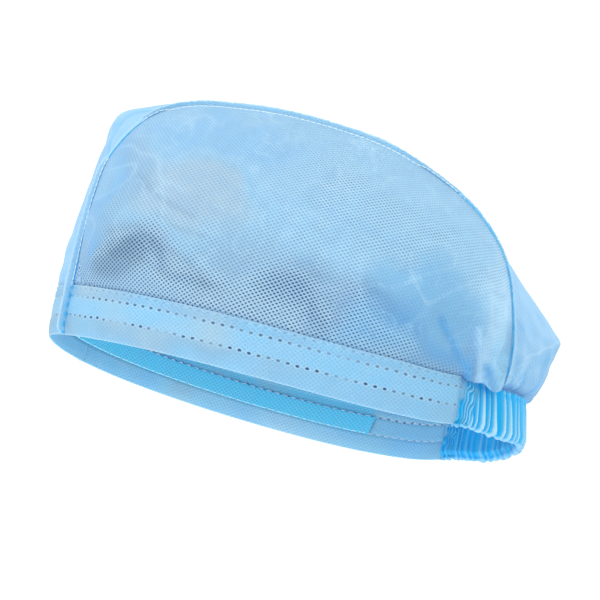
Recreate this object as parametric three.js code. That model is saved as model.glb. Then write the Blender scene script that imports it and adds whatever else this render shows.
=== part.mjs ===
// A disposable surgical cap of thin non-woven cloth, in the shape it takes on a head.
// Two side panels and a crown strip from forehead to nape are sewn together with their seam
// allowances outside. A doubled, stitched hem runs round the rim, and at the back it becomes a
// casing that an elastic band gathers.
//
// Millimetres, +Z up, -Y the forehead, +X the wearer's left. The origin is the middle of the
// rim opening, level with the rim's front and back.

import * as THREE from 'three';

const { degToRad, lerp, smoothstep } = THREE.MathUtils;

// Rim
const rimHalfLength = 105;
const rimHalfWidth = 82;
const frontRoundness = 2.05; // exponent of the rim's superellipse at the forehead
const backRoundness = 2.3; // and at the nape, where the rim is blunter
const rimSag = 7.2; // how far the rim drops at the sides, over the ears
const rimSagPower = 1.5;
const rimRearSag = 1.6; // the drop is this much deeper behind the ears and shallower before them
const rimLift = { height: 1.6, angle: degToRad(143), spread: degToRad(8) }; // where gathers begin

// Cloth, and the clearance that sewn edges keep
const cloth = 1;
const seamGap = 0.3;

// Hem, and the elastic casing that takes its place round the back
const hemHeight = 21;
const hemFlare = 1; // the hem is this much wider at its top than at the rim
const casingHeight = 19.5;
const casingTuck = 3; // the casing leans in by this much at its top
const casingTurn = { from: degToRad(118), to: degToRad(150) };
const frontSeamAngle = degToRad(22); // angles run round the rim from the forehead
const backSeamAngle = degToRad(152);
const casingAngle = degToRad(139);
const hemStep = degToRad(4.2);

// Elastic casing's gathers
const ribCount = 28;
const ribSpread = 0.4; // how much wider than the mean the gathers are at the back
const ribDepth = 1.5;

// Elastic band in the casing
const elastic = { inset: 3.2, bottom: 3, width: 6, thickness: 0.6 };

// Sweatband on the inner face, between the hem's two rows of stitches
const sweatband = { bottom: 8.3, width: 8, angle: degToRad(115.5) };

// Seam allowances, standing outside along both seams
const allowanceSquareEnd = 1.6; // how far above the rim's edge each one starts
const allowanceFree = 3; // stations short of the casing where each one ends, lost in the gathers

// Sampling
const stepsPerRow = 2;
const stripColumns = 16;
const panelRows = 10;

// One row for each section of the cap, from the forehead over the crown to the nape.
// seamX, seamY, seamZ: where the crown strip is sewn to the side panel
// midY, midZ: the middle of the crown strip
// hem: where the same section meets the top of the hem, in degrees round from the forehead
// fin: width of the seam allowance
const sections = [
  { seamX: 38.5, seamY: -95.3, seamZ: 43, midY: -105.6, midZ: 43, hem: 33, fin: 2.8 },
  { seamX: 38.5, seamY: -95, seamZ: 60, midY: -103.4, midZ: 63, hem: 43, fin: 2.4 },
  { seamX: 39, seamY: -93, seamZ: 75, midY: -101.8, midZ: 83, hem: 52, fin: 2.2 },
  { seamX: 39.5, seamY: -85.2, seamZ: 90.5, midY: -98.4, midZ: 101.5, hem: 60, fin: 2 },
  { seamX: 40, seamY: -77, seamZ: 99, midY: -86.4, midZ: 107.6, hem: 66, fin: 1.9 },
  { seamX: 40, seamY: -64.4, seamZ: 105, midY: -68, midZ: 112.8, hem: 72, fin: 1.9 },
  { seamX: 40.5, seamY: -44.6, seamZ: 108.4, midY: -46, midZ: 116.2, hem: 79, fin: 1.9 },
  { seamX: 41, seamY: -20, seamZ: 109.8, midY: -20, midZ: 117.6, hem: 88, fin: 1.9 },
  { seamX: 42, seamY: 17, seamZ: 106.4, midY: 18, midZ: 115, hem: 101, fin: 1.8 },
  { seamX: 43, seamY: 35.5, seamZ: 100.6, midY: 37.4, midZ: 107, hem: 109, fin: 1.6 },
  { seamX: 44, seamY: 58.7, seamZ: 89, midY: 60.6, midZ: 91, hem: 119, fin: 1.1 },
  { seamX: 45, seamY: 74.6, seamZ: 74.4, midY: 77.8, midZ: 76, hem: 128, fin: 0.8 },
  { seamX: 46, seamY: 81.6, seamZ: 61.5, midY: 90.6, midZ: 65, hem: 134, fin: 1.1 },
  { seamX: 47, seamY: 87.5, seamZ: 38, midY: 103.4, midZ: 53.6, hem: 141, fin: 1.4 },
  { seamX: 47.5, seamY: 88.3, seamZ: 26, midY: 107.8, midZ: 46, hem: 146, fin: 1.4 },
  { seamX: 47.3, seamY: 88, seamZ: 21, midY: 106.2, midZ: 35, hem: 149.5, fin: 1.3 },
];
const frontFin = 3.4;
const backFin = 1.2;
const panelBelly = 0.16; // the side panel's bulge, as a share of its depth from seam to hem,
const bellyDepths = { from: 4, to: 45 }; // which grows in between these depths

// Folds that the gathered casing sends up into the cloth above it, one row for each fold.
// angle: degrees round from the forehead, on both sides; depth: how far it stands out;
// width: from its ridge to its foot; reach: how high above the casing it stands out most
const folds = [
  { angle: 139, depth: 2.2, width: 3.4, reach: 15 },
  { angle: 145, depth: 3, width: 3.6, reach: 12 },
  { angle: 151.7, depth: 1.6, width: 3.4, reach: 8 },
  { angle: 157, depth: 2.2, width: 3.4, reach: 9 },
  { angle: 164, depth: 1.8, width: 3.4, reach: 8 },
  { angle: 171, depth: 2.4, width: 3.6, reach: 9 },
  { angle: 178, depth: 1.6, width: 3.4, reach: 8 },
];

// Folded hem's section. out: from the outer face, outwards; up: share of the hem's height,
// with lift added in millimetres; rib: share of the gathers' depth that it follows
const plies = 0.4; // the slit between the hem's two plies
const hemSection = [
  { out: 0, up: 0, lift: 0.9 },
  { out: 0, up: 1, lift: 0 },
  { out: -cloth, up: 1, lift: 0 },
  { out: -cloth, up: 0, lift: 1.1 },
  { out: -cloth - plies, up: 0, lift: 1.1 },
  { out: -cloth - plies, up: 1, lift: 0 },
  { out: -2 * cloth - plies, up: 1, lift: 0 },
  { out: -2 * cloth - plies, up: 0, lift: 0.9 },
  { out: -1.6 * cloth - plies, up: 0, lift: 0.2 },
  { out: -0.4 * cloth, up: 0, lift: 0.2 },
];

// Casing's section: two plies round a channel that is widest at the elastic band. The ribs
// stand out from a face that is drawn in by the elastic, and the inner ply's ribs stand inwards.
const drawnIn = 1.2;
const channel = 2.2;
const casingSection = [
  { out: -drawnIn, up: 0, lift: 1, rib: 1 },
  { out: -drawnIn - 0.8, up: 1, lift: 0, rib: 0.6 },
  { out: -drawnIn - 0.8 - cloth, up: 1, lift: 0, rib: 0.6 },
  { out: -drawnIn - cloth, up: 0, lift: 1.6, rib: 1 },
  { out: -drawnIn - cloth - channel, up: 0, lift: 1.6, rib: -1 },
  { out: -drawnIn - 1.2 - cloth, up: 1, lift: 0, rib: 0.6 },
  { out: -drawnIn - 1.2 - 2 * cloth, up: 1, lift: 0, rib: 0.6 },
  { out: -drawnIn - 2 * cloth - channel, up: 0, lift: 1, rib: -1 },
  { out: -drawnIn - cloth - channel / 2, up: 0, lift: 0, rib: 0 },
];

function matte(color, roughness) {
  return new THREE.MeshStandardMaterial({ color, roughness, metalness: 0 });
}
const clothMaterial = matte(0x96cdf0, 0.8);
const hemMaterial = matte(0xa8cdea, 0.8);
const bandMaterial = matte(0x3cafef, 0.75);
const elasticMaterial = matte(0xf2f4f5, 0.6);

// ---- Rim, hem and casing ----

function anglePastForehead(angle) {
  return Math.abs(angle) > Math.PI ? 2 * Math.PI - Math.abs(angle) : Math.abs(angle);
}

// The rim's edge at an angle round from the forehead: seen from above a superellipse. It is
// lower the further it lies to the side, most of all behind the ears, and the gathers lift it.
function rimPoint(angle) {
  const power = lerp(frontRoundness, backRoundness, (1 - Math.cos(angle)) / 2);
  const across = Math.abs(Math.sin(angle)) / rimHalfWidth;
  const along = Math.abs(Math.cos(angle)) / rimHalfLength;
  const radius = (across ** power + along ** power) ** (-1 / power);
  const x = radius * Math.sin(angle);
  const turned = anglePastForehead(angle);
  const aside = Math.abs(x) / rimHalfWidth;
  const drop = rimSag * aside ** rimSagPower - rimRearSag * aside * Math.sin(2 * turned);
  const lift = rimLift.height * Math.exp(-(((turned - rimLift.angle) / rimLift.spread) ** 2));
  return new THREE.Vector3(x, -radius * Math.cos(angle), lift - drop);
}

function rimOutward(angle) {
  const step = 0.002;
  const before = rimPoint(angle - step);
  const after = rimPoint(angle + step);
  return new THREE.Vector3(after.y - before.y, before.x - after.x, 0).normalize();
}

// 0 where the rim is a plain hem, 1 where it is the casing
function casingShare(angle) {
  return smoothstep(anglePastForehead(angle), casingTurn.from, casingTurn.to);
}

function bandHeight(angle) {
  return lerp(hemHeight, casingHeight, casingShare(angle));
}

// A point of the hem: out from its outer face, and up from the rim's edge
function hemPoint(angle, out, up) {
  const lean = lerp(hemFlare, -casingTuck, casingShare(angle));
  const point = rimPoint(angle);
  point.addScaledVector(rimOutward(angle), out + (lean * up) / bandHeight(angle));
  point.z += up;
  return point;
}

function hemTop(angle) {
  return hemPoint(angle, 0, bandHeight(angle) + seamGap);
}

// ---- Crown strip and side panels ----

const firstMid = hemTop(0);
const firstSeam = hemTop(frontSeamAngle);
const lastMid = hemTop(Math.PI);
const lastSeam = hemTop(backSeamAngle);
const tableSeams = sections.map((row) => new THREE.Vector3(row.seamX, row.seamY, row.seamZ));
const tableMids = sections.map((row) => new THREE.Vector3(0, row.midY, row.midZ));
const seamPoints = [firstSeam, ...tableSeams, lastSeam];
const midPoints = [firstMid, ...tableMids, lastMid];
const hemAngles = [frontSeamAngle, ...sections.map((row) => degToRad(row.hem)), backSeamAngle];
const finWidths = [frontFin, ...sections.map((row) => row.fin), backFin];

const seamCurve = new THREE.CatmullRomCurve3(seamPoints);
const midCurve = new THREE.CatmullRomCurve3(midPoints);
const stationCount = (seamPoints.length - 1) * stepsPerRow + 1;
const stations = Array.from({ length: stationCount }, (_, i) => i / (stationCount - 1));

// A value between the rows of a column
function betweenRows(column, t) {
  const place = t * (column.length - 1);
  const row = Math.min(Math.floor(place), column.length - 2);
  return lerp(column[row], column[row + 1], place - row);
}

// How far the casing's gathers push the cloth out above it: each fold is a soft ridge that
// starts flat at the casing, stands out most at its reach, and dies away above.
function gatherDepth(point) {
  const angle = Math.abs(Math.atan2(point.x, -point.y));
  const top = hemTop(angle);
  const radius = Math.hypot(top.x, top.y);
  const height = Math.max(point.z - top.z, 0);
  return folds.reduce((sum, fold) => {
    const aside = (angle - degToRad(fold.angle)) * radius;
    const rise = (height / fold.reach) * Math.exp(1 - height / fold.reach);
    return sum + fold.depth * rise * Math.exp(-((aside / fold.width) ** 2));
  }, 0);
}

function gathered(point) {
  const angle = Math.atan2(point.x, -point.y);
  return point.addScaledVector(rimOutward(angle), gatherDepth(point));
}

// The strip arches between its two seams. across runs from -1 at one seam to 1 at the other.
function stripPoint(t, across) {
  const seam = seamCurve.getPoint(t);
  const mid = midCurve.getPoint(t);
  const arch = Math.cos((across * Math.PI) / 2);
  return new THREE.Vector3(seam.x * across, lerp(seam.y, mid.y, arch), lerp(seam.z, mid.z, arch));
}

// The left panel runs from the seam to the hem's top and bulges out between them. down runs
// from 0 at the seam to 1 at the hem.
function panelPoint(t, down) {
  const seam = seamCurve.getPoint(t);
  const drop = hemTop(betweenRows(hemAngles, t)).sub(seam);
  const outward = new THREE.Vector3().crossVectors(drop, seamCurve.getTangent(t)).normalize();
  const depth = drop.length();
  const belly = panelBelly * smoothstep(depth, bellyDepths.from, bellyDepths.to);
  const bulge = belly * depth * Math.sin(Math.PI * down);
  return seam.addScaledVector(drop, down).addScaledVector(outward, bulge);
}

// Where the strip and the panel meet: out stands square to the seam between the two cloths,
// and aside points to the panel.
const endMargin = 0.004; // the panel has no depth at the seam's very ends
function seamFrame(t) {
  const inside = Math.min(Math.max(t, endMargin), 1 - endMargin);
  const along = seamCurve.getTangent(inside);
  const step = 0.01;
  const stripEdge = stripPoint(inside, 1);
  const stripNormal = stripEdge.clone().sub(stripPoint(inside, 1 - step)).cross(along).normalize();
  const panelNormal = panelPoint(inside, step).sub(stripEdge).cross(along).normalize();
  const out = stripNormal.clone().add(panelNormal).normalize();
  const aside = new THREE.Vector3().crossVectors(along, out).normalize();
  return { out, aside, wall: cloth / out.dot(stripNormal) };
}

// ---- Solids ----

function mirrored(point) {
  return new THREE.Vector3(-point.x, point.y, point.z);
}

function mirroredIf(flip, vector) {
  return flip ? mirrored(vector) : vector.clone();
}

// Joins points that are equal, drops triangles that this leaves without area, and turns the
// faces outwards.
const samePoint = 1e-4;
function solid(triangles) {
  const positions = [];
  const index = [];
  const known = new Map();
  const numbered = (point) => {
    const key = point.toArray().map((value) => Math.round(value / samePoint)).join(' ');
    if (!known.has(key)) {
      known.set(key, positions.length / 3);
      positions.push(point.x, point.y, point.z);
    }
    return known.get(key);
  };
  let volume = 0;
  for (const [a, b, c] of triangles) {
    const corners = [a, b, c].map(numbered);
    if (new Set(corners).size === 3) {
      index.push(...corners);
      volume += a.dot(new THREE.Vector3().crossVectors(b, c));
    }
  }
  if (volume < 0) index.reverse();
  const geometry = new THREE.BufferGeometry();
  geometry.setAttribute('position', new THREE.Float32BufferAttribute(positions, 3));
  geometry.setIndex(index);
  geometry.computeVertexNormals();
  return geometry;
}

function quad(a, b, c, d) {
  return [[a, b, c], [a, c, d]];
}

// A wall between two grids of points, closed round its four edges
function wallSolid(outer, inner) {
  const triangles = [];
  const lastRow = outer.length - 1;
  const lastColumn = outer[0].length - 1;
  for (let i = 0; i < lastRow; i += 1) {
    for (let j = 0; j < lastColumn; j += 1) {
      triangles.push(...quad(outer[i][j], outer[i][j + 1], outer[i + 1][j + 1], outer[i + 1][j]));
      triangles.push(...quad(inner[i][j], inner[i + 1][j], inner[i + 1][j + 1], inner[i][j + 1]));
    }
    triangles.push(...quad(outer[i][0], outer[i + 1][0], inner[i + 1][0], inner[i][0]));
    const [outerHere, outerNext] = [outer[i][lastColumn], outer[i + 1][lastColumn]];
    triangles.push(...quad(outerNext, outerHere, inner[i][lastColumn], inner[i + 1][lastColumn]));
  }
  const outerEnd = outer[lastRow];
  const innerEnd = inner[lastRow];
  for (let j = 0; j < lastColumn; j += 1) {
    triangles.push(...quad(outer[0][j + 1], outer[0][j], inner[0][j], inner[0][j + 1]));
    triangles.push(...quad(outerEnd[j], outerEnd[j + 1], innerEnd[j + 1], innerEnd[j]));
  }
  return solid(triangles);
}

// A closed section carried through a list of rings, with flat ends
function sweptSolid(rings, contour) {
  const triangles = [];
  const count = contour.length;
  for (let i = 0; i < rings.length - 1; i += 1) {
    for (let k = 0; k < count; k += 1) {
      const next = (k + 1) % count;
      triangles.push(...quad(rings[i][k], rings[i][next], rings[i + 1][next], rings[i + 1][k]));
    }
  }
  const first = rings[0];
  const last = rings[rings.length - 1];
  for (const [a, b, c] of THREE.ShapeUtils.triangulateShape(contour, [])) {
    const turned = THREE.ShapeUtils.isClockWise(contour) ? [a, c, b] : [a, b, c];
    triangles.push(turned.map((k) => first[k]).reverse(), turned.map((k) => last[k]));
  }
  return solid(triangles);
}

// Normals of a grid of points, from its neighbours along both directions
function gridNormal(grid, i, j) {
  const row = (at) => Math.min(Math.max(at, 0), grid.length - 1);
  const column = (at) => Math.min(Math.max(at, 0), grid[0].length - 1);
  const along = grid[row(i + 1)][j].clone().sub(grid[row(i - 1)][j]);
  const across = grid[i][column(j + 1)].clone().sub(grid[i][column(j - 1)]);
  return across.cross(along).normalize();
}

const solids = {};
function add(name, geometry, material) {
  solids[name] = new THREE.Mesh(geometry, material);
  solids[name].name = name;
}

// ---- Crown strip ----

const frames = stations.map(seamFrame);
const stripOuter = stations.map((t, i) => Array.from({ length: stripColumns + 1 }, (_, j) => {
  const across = (2 * j) / stripColumns - 1;
  const point = stripPoint(t, across);
  if (Math.abs(across) === 1) {
    const inset = mirroredIf(across < 0, frames[i].aside);
    point.addScaledVector(inset, -seamGap / 2);
  }
  return gathered(point);
}));
const stripInner = stripOuter.map((row, i) => row.map((point, j) => {
  const atEdge = j === 0 || j === stripColumns;
  const { out, wall } = frames[i];
  const inward = atEdge ? mirroredIf(j === 0, out) : gridNormal(stripOuter, i, j);
  if (i === 0 || i === stations.length - 1) inward.setZ(0).normalize();
  return point.clone().addScaledVector(inward, atEdge ? -wall : -cloth);
}));
add('crown_strip', wallSolid(stripOuter, stripInner), clothMaterial);

// ---- Side panels ----

// The sharp rear corner is one section long, because the cloth there is as thick as it is deep.
const panelStations = stations.filter((_, i) => i !== stations.length - 2);
const panelFrames = panelStations.map(seamFrame);
const panelEnd = panelStations.length - 1;
const panelOuter = panelStations.map((t, i) => Array.from({ length: panelRows + 1 }, (_, j) => {
  const atEnd = i === 0 || i === panelEnd;
  const point = atEnd ? seamCurve.getPoint(t) : panelPoint(t, j / panelRows);
  if (atEnd || j === 0) point.addScaledVector(panelFrames[i].aside, seamGap / 2);
  return gathered(point);
}));
const panelInner = panelOuter.map((row, i) => row.map((point, j) => {
  const atSeam = j === 0 || i === 0 || i === panelEnd;
  const { out, wall } = panelFrames[i];
  const inward = atSeam ? out.clone() : gridNormal(panelOuter, i, j).negate();
  if (j === panelRows || i === 0 || i === panelEnd) inward.setZ(0).normalize();
  return point.clone().addScaledVector(inward, atSeam ? -wall : -cloth);
}));
const mirrorGrid = (grid) => grid.map((row) => row.map(mirrored));
add('left_side_panel', wallSolid(panelOuter, panelInner), clothMaterial);
add('right_side_panel', wallSolid(mirrorGrid(panelOuter), mirrorGrid(panelInner)), clothMaterial);

// ---- Hem and elastic casing ----

function angleRange(from, to, steps) {
  return Array.from({ length: steps + 1 }, (_, i) => lerp(from, to, i / steps));
}

function bandRings(angles, section, ribs) {
  return angles.map((angle, i) => section.map((row) => {
    const ribbed = ribs ? ribs[i] * row.rib : 0;
    return hemPoint(angle, row.out + ribbed, row.up * bandHeight(angle) + row.lift);
  }));
}

function contourOf(section) {
  return section.map((row) => new THREE.Vector2(row.out, row.up * hemHeight + row.lift));
}

function hemBand(from, to) {
  const steps = Math.round(Math.abs(to - from) / hemStep);
  return sweptSolid(bandRings(angleRange(from, to, steps), hemSection), contourOf(hemSection));
}

const halfGap = seamGap / 2 / rimHalfLength;
add('front_hem', hemBand(-frontSeamAngle + halfGap, frontSeamAngle - halfGap), hemMaterial);
add('left_hem', hemBand(frontSeamAngle + halfGap, casingAngle - halfGap), hemMaterial);
add('right_hem', hemBand(-frontSeamAngle - halfGap, -casingAngle + halfGap), hemMaterial);

// Each gather is a flat-topped rib: up, along, down, along. Gathers are close beside the hem
// and wide at the back.
const ribSteps = [0, 1, 1, 0];
const casingSteps = ribCount * ribSteps.length - 1;
const casingFrom = casingAngle + halfGap;
const casingAngles = angleRange(0, 1, casingSteps).map((share) => {
  const spreadShare = share - (ribSpread * Math.sin(2 * Math.PI * share)) / (2 * Math.PI);
  return lerp(casingFrom, 2 * Math.PI - casingFrom, spreadShare);
});
const ribs = casingAngles.map((_, i) => ribDepth * ribSteps[i % ribSteps.length]);
const casingRings = bandRings(casingAngles, casingSection, ribs);
add('elastic_casing', sweptSolid(casingRings, contourOf(casingSection)), hemMaterial);

// A flat band: its outer face, its bottom edge above the rim, its width and its thickness
function flatBand(from, to, steps, inset, bottom, width, thickness) {
  const section = [
    { out: -inset, up: 0, lift: bottom },
    { out: -inset, up: 0, lift: bottom + width },
    { out: -inset - thickness, up: 0, lift: bottom + width },
    { out: -inset - thickness, up: 0, lift: bottom },
  ];
  return sweptSolid(bandRings(angleRange(from, to, steps), section), contourOf(section));
}

const elasticSteps = 36;
add(
  'elastic_band',
  flatBand(
    casingFrom, 2 * Math.PI - casingFrom, elasticSteps,
    elastic.inset - elastic.thickness / 2, elastic.bottom, elastic.width, elastic.thickness,
  ),
  elasticMaterial,
);

const hemThickness = 2 * cloth + plies;
add(
  'sweatband',
  flatBand(
    -sweatband.angle, sweatband.angle, Math.round((2 * sweatband.angle) / hemStep),
    hemThickness + seamGap, sweatband.bottom, sweatband.width, cloth,
  ),
  bandMaterial,
);

// ---- Seam allowances ----

// A thin fin along the seam, from just above the rim's edge, up the hem and over the crown
function allowanceRing(foot, out, aside, width) {
  const corner = (side, height) => foot.clone()
    .addScaledVector(aside, (side * cloth) / 2)
    .addScaledVector(out, seamGap + height);
  return [corner(-1, 0), corner(1, 0), corner(1, width), corner(-1, width)];
}

function allowance(turn) {
  const hemOut = rimOutward(frontSeamAngle);
  const hemAside = new THREE.Vector3(-hemOut.y, hemOut.x, 0);
  const onHem = [allowanceSquareEnd, hemHeight / 2].map((up) => (
    allowanceRing(hemPoint(frontSeamAngle, 0, up), hemOut, hemAside, frontFin)));
  const onSeam = stations.slice(0, -allowanceFree).map((t, i) => {
    const foot = gathered(seamCurve.getPoint(t));
    return allowanceRing(foot, frames[i].out, frames[i].aside, betweenRows(finWidths, t));
  });
  const rings = [...onHem, ...onSeam].map((ring) => ring.map(turn));
  const contour = [[-1, 0], [1, 0], [1, 1], [-1, 1]].map(([x, y]) => new THREE.Vector2(x, y));
  return sweptSolid(rings, contour);
}

add('left_seam', allowance((point) => point), clothMaterial);
add('right_seam', allowance(mirrored), clothMaterial);

const cap = new THREE.Group();
cap.add(...Object.values(solids));
export default cap;
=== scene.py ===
from functools import partial
import bpy
import numpy as np
from mathutils import Matrix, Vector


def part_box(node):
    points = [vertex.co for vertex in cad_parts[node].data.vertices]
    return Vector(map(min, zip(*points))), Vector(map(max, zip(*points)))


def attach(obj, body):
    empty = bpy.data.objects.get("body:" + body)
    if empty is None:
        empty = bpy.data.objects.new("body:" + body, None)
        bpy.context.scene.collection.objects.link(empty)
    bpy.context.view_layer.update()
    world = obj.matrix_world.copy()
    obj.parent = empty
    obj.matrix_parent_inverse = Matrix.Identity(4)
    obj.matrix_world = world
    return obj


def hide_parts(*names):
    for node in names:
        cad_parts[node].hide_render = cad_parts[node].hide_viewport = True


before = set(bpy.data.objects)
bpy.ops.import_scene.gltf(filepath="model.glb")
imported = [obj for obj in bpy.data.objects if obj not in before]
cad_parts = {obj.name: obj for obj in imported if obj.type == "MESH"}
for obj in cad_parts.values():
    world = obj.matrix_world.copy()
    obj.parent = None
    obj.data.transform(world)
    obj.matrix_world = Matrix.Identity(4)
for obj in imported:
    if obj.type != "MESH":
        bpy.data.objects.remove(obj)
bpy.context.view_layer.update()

# A disposable surgical cap of sheer spunbond cloth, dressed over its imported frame.
# Lengths are worked out in millimetres and turned to metres where a mesh is made.
# +Z is up, -Y the forehead, +X the wearer's left; angles run round the rim from the forehead.

mm = 0.001


def linear(hexColour):
    # an sRGB hex colour as linear red, green, blue
    value = np.array([int(hexColour[i:i + 2], 16) for i in (1, 3, 5)]) / 255
    return np.where(value <= 0.04045, value / 12.92, ((value + 0.055) / 1.055) ** 2.4)


def solid(hexColour):
    # the same colour as a node takes it, with full cover
    return (*linear(hexColour), 1)


def smoothly(value, start, end):
    # 0 before start, 1 after end, and an S-curve between them
    share = np.clip((value - start) / (end - start), 0, 1)
    return share * share * (3 - 2 * share)


def between(a, b, share):
    # a at share 0 and b at share 1, straight between them
    return a + (b - a) * share


def plateau(value, a, b, c, d):
    # up from 0 at a to 1 at b, and down again from c to d
    return smoothly(value, a, b) * (1 - smoothly(value, c, d))


def bell(away, width, power=2):
    # 1 where away is 0, fading to 0 about a width from there
    return np.exp(-(away / width) ** power)


def unit(vectors):
    # each vector brought to length 1
    return vectors / np.maximum(np.linalg.norm(vectors, axis=-1, keepdims=True), 1e-9)


def softNoise(u, v, size, seed):
    # a smooth random field of about -1 to 1: nine waves of random turns, each about size long
    rng = np.random.default_rng(seed)
    total = 0
    for turn, shift, stretch in rng.uniform((0, 0, 0.6), (np.pi, 2 * np.pi, 1.6), (9, 3)):
        along = u * np.cos(turn) + v * np.sin(turn)
        total = total + np.sin(2 * np.pi * along / (size * stretch) + shift)
    return total / 3


def crumpled(u, v, size, seed, halfWidth=0.11, broken=(-0.3, 0.6)):
    # 1 along thin crooked lines, where a soft noise passes 0, broken up by a broader noise
    line = bell(softNoise(u, v, size, seed), halfWidth)
    return line * smoothly(softNoise(u, v, 2 * size, seed + 1), *broken)


def runLength(points):
    # length walked along the first axis, from 0
    steps = np.linalg.norm(np.diff(points, axis=0), axis=-1)
    return np.concatenate([np.zeros((1,) + steps.shape[1:]), np.cumsum(steps, axis=0)])


def readAt(places, knownAt, values):
    # each column of values, read at places between the ones where it is known
    return np.stack([np.interp(places, knownAt, column) for column in np.transpose(values)], -1)


def crossed(down, across):
    # a grid of pairs: one value for each row and one for each column
    return np.stack(np.broadcast_arrays(down[:, None], across), -1)


def feed(node, inputs):
    # sets inputs of a node, which may be numbers, colours or the outputs of other nodes
    for label, value in inputs.items():
        if isinstance(value, bpy.types.NodeSocket):
            node.id_data.links.new(value, node.inputs[label])
        else:
            node.inputs[label].default_value = value


def addNode(tree, kind, inputs=None, output=None, **settings):
    # adds a node and gives one of its outputs, or else the first that is in use
    node = tree.nodes.new("ShaderNode" + kind)
    for label, value in settings.items():
        setattr(node, label, value)
    feed(node, inputs or {})
    return node.outputs[output] if output else next(one for one in node.outputs if one.enabled)


def newMaterial(name, roughness):
    # a material, its surface, and the function that adds nodes to it
    material = bpy.data.materials.new(name)
    material.use_nodes = True
    surface = material.node_tree.nodes["Principled BSDF"]
    feed(surface, {"Roughness": roughness})
    return material, surface, partial(addNode, material.node_tree)


def newMesh(name, points, faces, material):
    # points are in millimetres
    mesh = bpy.data.meshes.new(name)
    mesh.from_pydata(points * mm, [], faces)
    mesh.materials.append(material)
    return mesh


def newObject(name, data):
    obj = bpy.data.objects.new(name, data)
    bpy.context.collection.objects.link(obj)
    return obj


def riding(name, mesh):
    # a smooth piece that goes with the frame's body
    mesh.shade_smooth()
    obj = newObject(name, mesh)
    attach(obj, "root")
    return obj


stage = {
    "cameraAt": (1089.7, 63.3, -141.8), "aim": (6.85, -2.89, 39.8), "roll": 13.5, "lens": 154.3,
    "film": 36, "clip": (0.05, 50),
    "floorZ": -380.0, "floorSize": 9000.0, "floorColour": "#EEF1F3", "floorRoughness": 0.9,
    "worldColour": "#FFFFF8", "worldStrength": 1.15, "lightsAim": (0, 0, 40),
}
# place, size and watts of each soft round light
lights = {
    "keyLight": ((1020.0, -950.0, 870.0), 900.0, 9.0),
    "rimLight": ((-700.0, 900.0, 800.0), 900.0, 4.0),
    "lowLight": ((30.0, 0.0, -340.0), 300.0, 0.5),
}


def aimed(name, data, at, target, roll=0.0):
    # adds an object with its -Z to the target, its top kept up and then rolled by some degrees
    back = unit(np.subtract(at, target))
    right = unit(np.cross((0, 0, 1), back))
    up = np.cross(back, right)
    turn = np.radians(roll)
    axes = [np.cos(turn) * right + np.sin(turn) * up, np.cos(turn) * up - np.sin(turn) * right, back]
    world = np.eye(4)
    world[:3, :3] = np.stack(axes, -1)
    world[:3, 3] = np.array(at) * mm
    obj = newObject(name, data)
    obj.matrix_world = Matrix(world.tolist())
    return obj


def buildStage():
    scene = bpy.context.scene
    camera = bpy.data.cameras.new("camera")
    camera.lens, camera.sensor_width = stage["lens"], stage["film"]
    camera.clip_start, camera.clip_end = stage["clip"]
    scene.camera = aimed("camera", camera, stage["cameraAt"], stage["aim"], stage["roll"])
    for name, (at, size, power) in lights.items():
        lamp = bpy.data.lights.new(name, "AREA")
        lamp.shape, lamp.size, lamp.energy = "DISK", size * mm, power
        aimed(name, lamp, at, stage["lightsAim"])
    world = bpy.data.worlds.new("studio")
    world.use_nodes = True
    feed(world.node_tree.nodes["Background"],
         {"Color": solid(stage["worldColour"]), "Strength": stage["worldStrength"]})
    scene.world = world
    scene.view_settings.view_transform = "Standard"
    half, z = stage["floorSize"] / 2, stage["floorZ"]
    corners = np.array([(-half, -half, z), (half, -half, z), (half, half, z), (-half, half, z)])
    paper, surface, _ = newMaterial("paleFloor", stage["floorRoughness"])
    feed(surface, {"Base Color": solid(stage["floorColour"])})
    floor = newObject("floor", newMesh("floor", corners, [(0, 1, 2, 3)], paper))
    print("stage: camera, three soft lights and a pale floor")


buildStage()


hem = {"height": 21.0, "flare": 1.0, "seam": np.radians(22.0)}
rim = {
    "halfLength": -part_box("front_hem")[0][1] / mm - hem["flare"],
    "halfWidth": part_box("left_hem")[1][0] / mm - hem["flare"],
    "frontRoundness": 2.05, "backRoundness": 2.3,
    "sag": 7.2, "sagPower": 1.5, "rearSag": 1.6,
    "lift": 1.6, "liftAt": np.radians(143.0), "liftSpread": np.radians(8.0),
}
casing = {
    "height": 19.5, "tuck": 3.0, "turn": np.radians((118.0, 150.0)), "start": np.radians(139.0),
    "seam": np.radians(152.0), "ribs": 28, "ribSpread": 0.4, "stepsPerRib": 4, "firstCrest": 1.5,
    "depth": 1.5,
}
topGap = 0.3  # the cloth above meets the hem this far over its top

# Each row is a section over the crown: x, y and z where the strip is sewn to the side panel, y and z
# of the strip's middle, the degree of the rim that it comes down to, and the allowance's width
sections = np.array([
    (38.5, -95.3, 43, -105.6, 43, 33, 2.8),
    (38.5, -95, 60, -103.4, 63, 43, 2.4),
    (39, -93, 75, -101.8, 83, 52, 2.2),
    (39.5, -85.2, 90.5, -98.4, 101.5, 60, 2.0),
    (40, -77, 99, -86.4, 107.6, 66, 1.9),
    (40, -64.4, 105, -68, 112.8, 72, 1.9),
    (40.5, -44.6, 108.4, -46, 116.2, 79, 1.9),
    (41, -20, 109.8, -20, 117.6, 88, 1.9),
    (42, 17, 106.4, 18, 115, 101, 1.8),
    (43, 35.5, 100.6, 37.4, 107, 109, 1.6),
    (44, 58.7, 89, 60.6, 91, 119, 1.1),
    (45, 74.6, 74.4, 77.8, 76, 128, 0.8),
    (46, 81.6, 61.5, 90.6, 65, 134, 1.1),
    (47, 87.5, 38, 103.4, 53.6, 141, 1.4),
    (47.5, 88.3, 26, 107.8, 46, 146, 1.4),
    (47.3, 88, 21, 106.2, 35, 149.5, 1.3),
])
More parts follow.
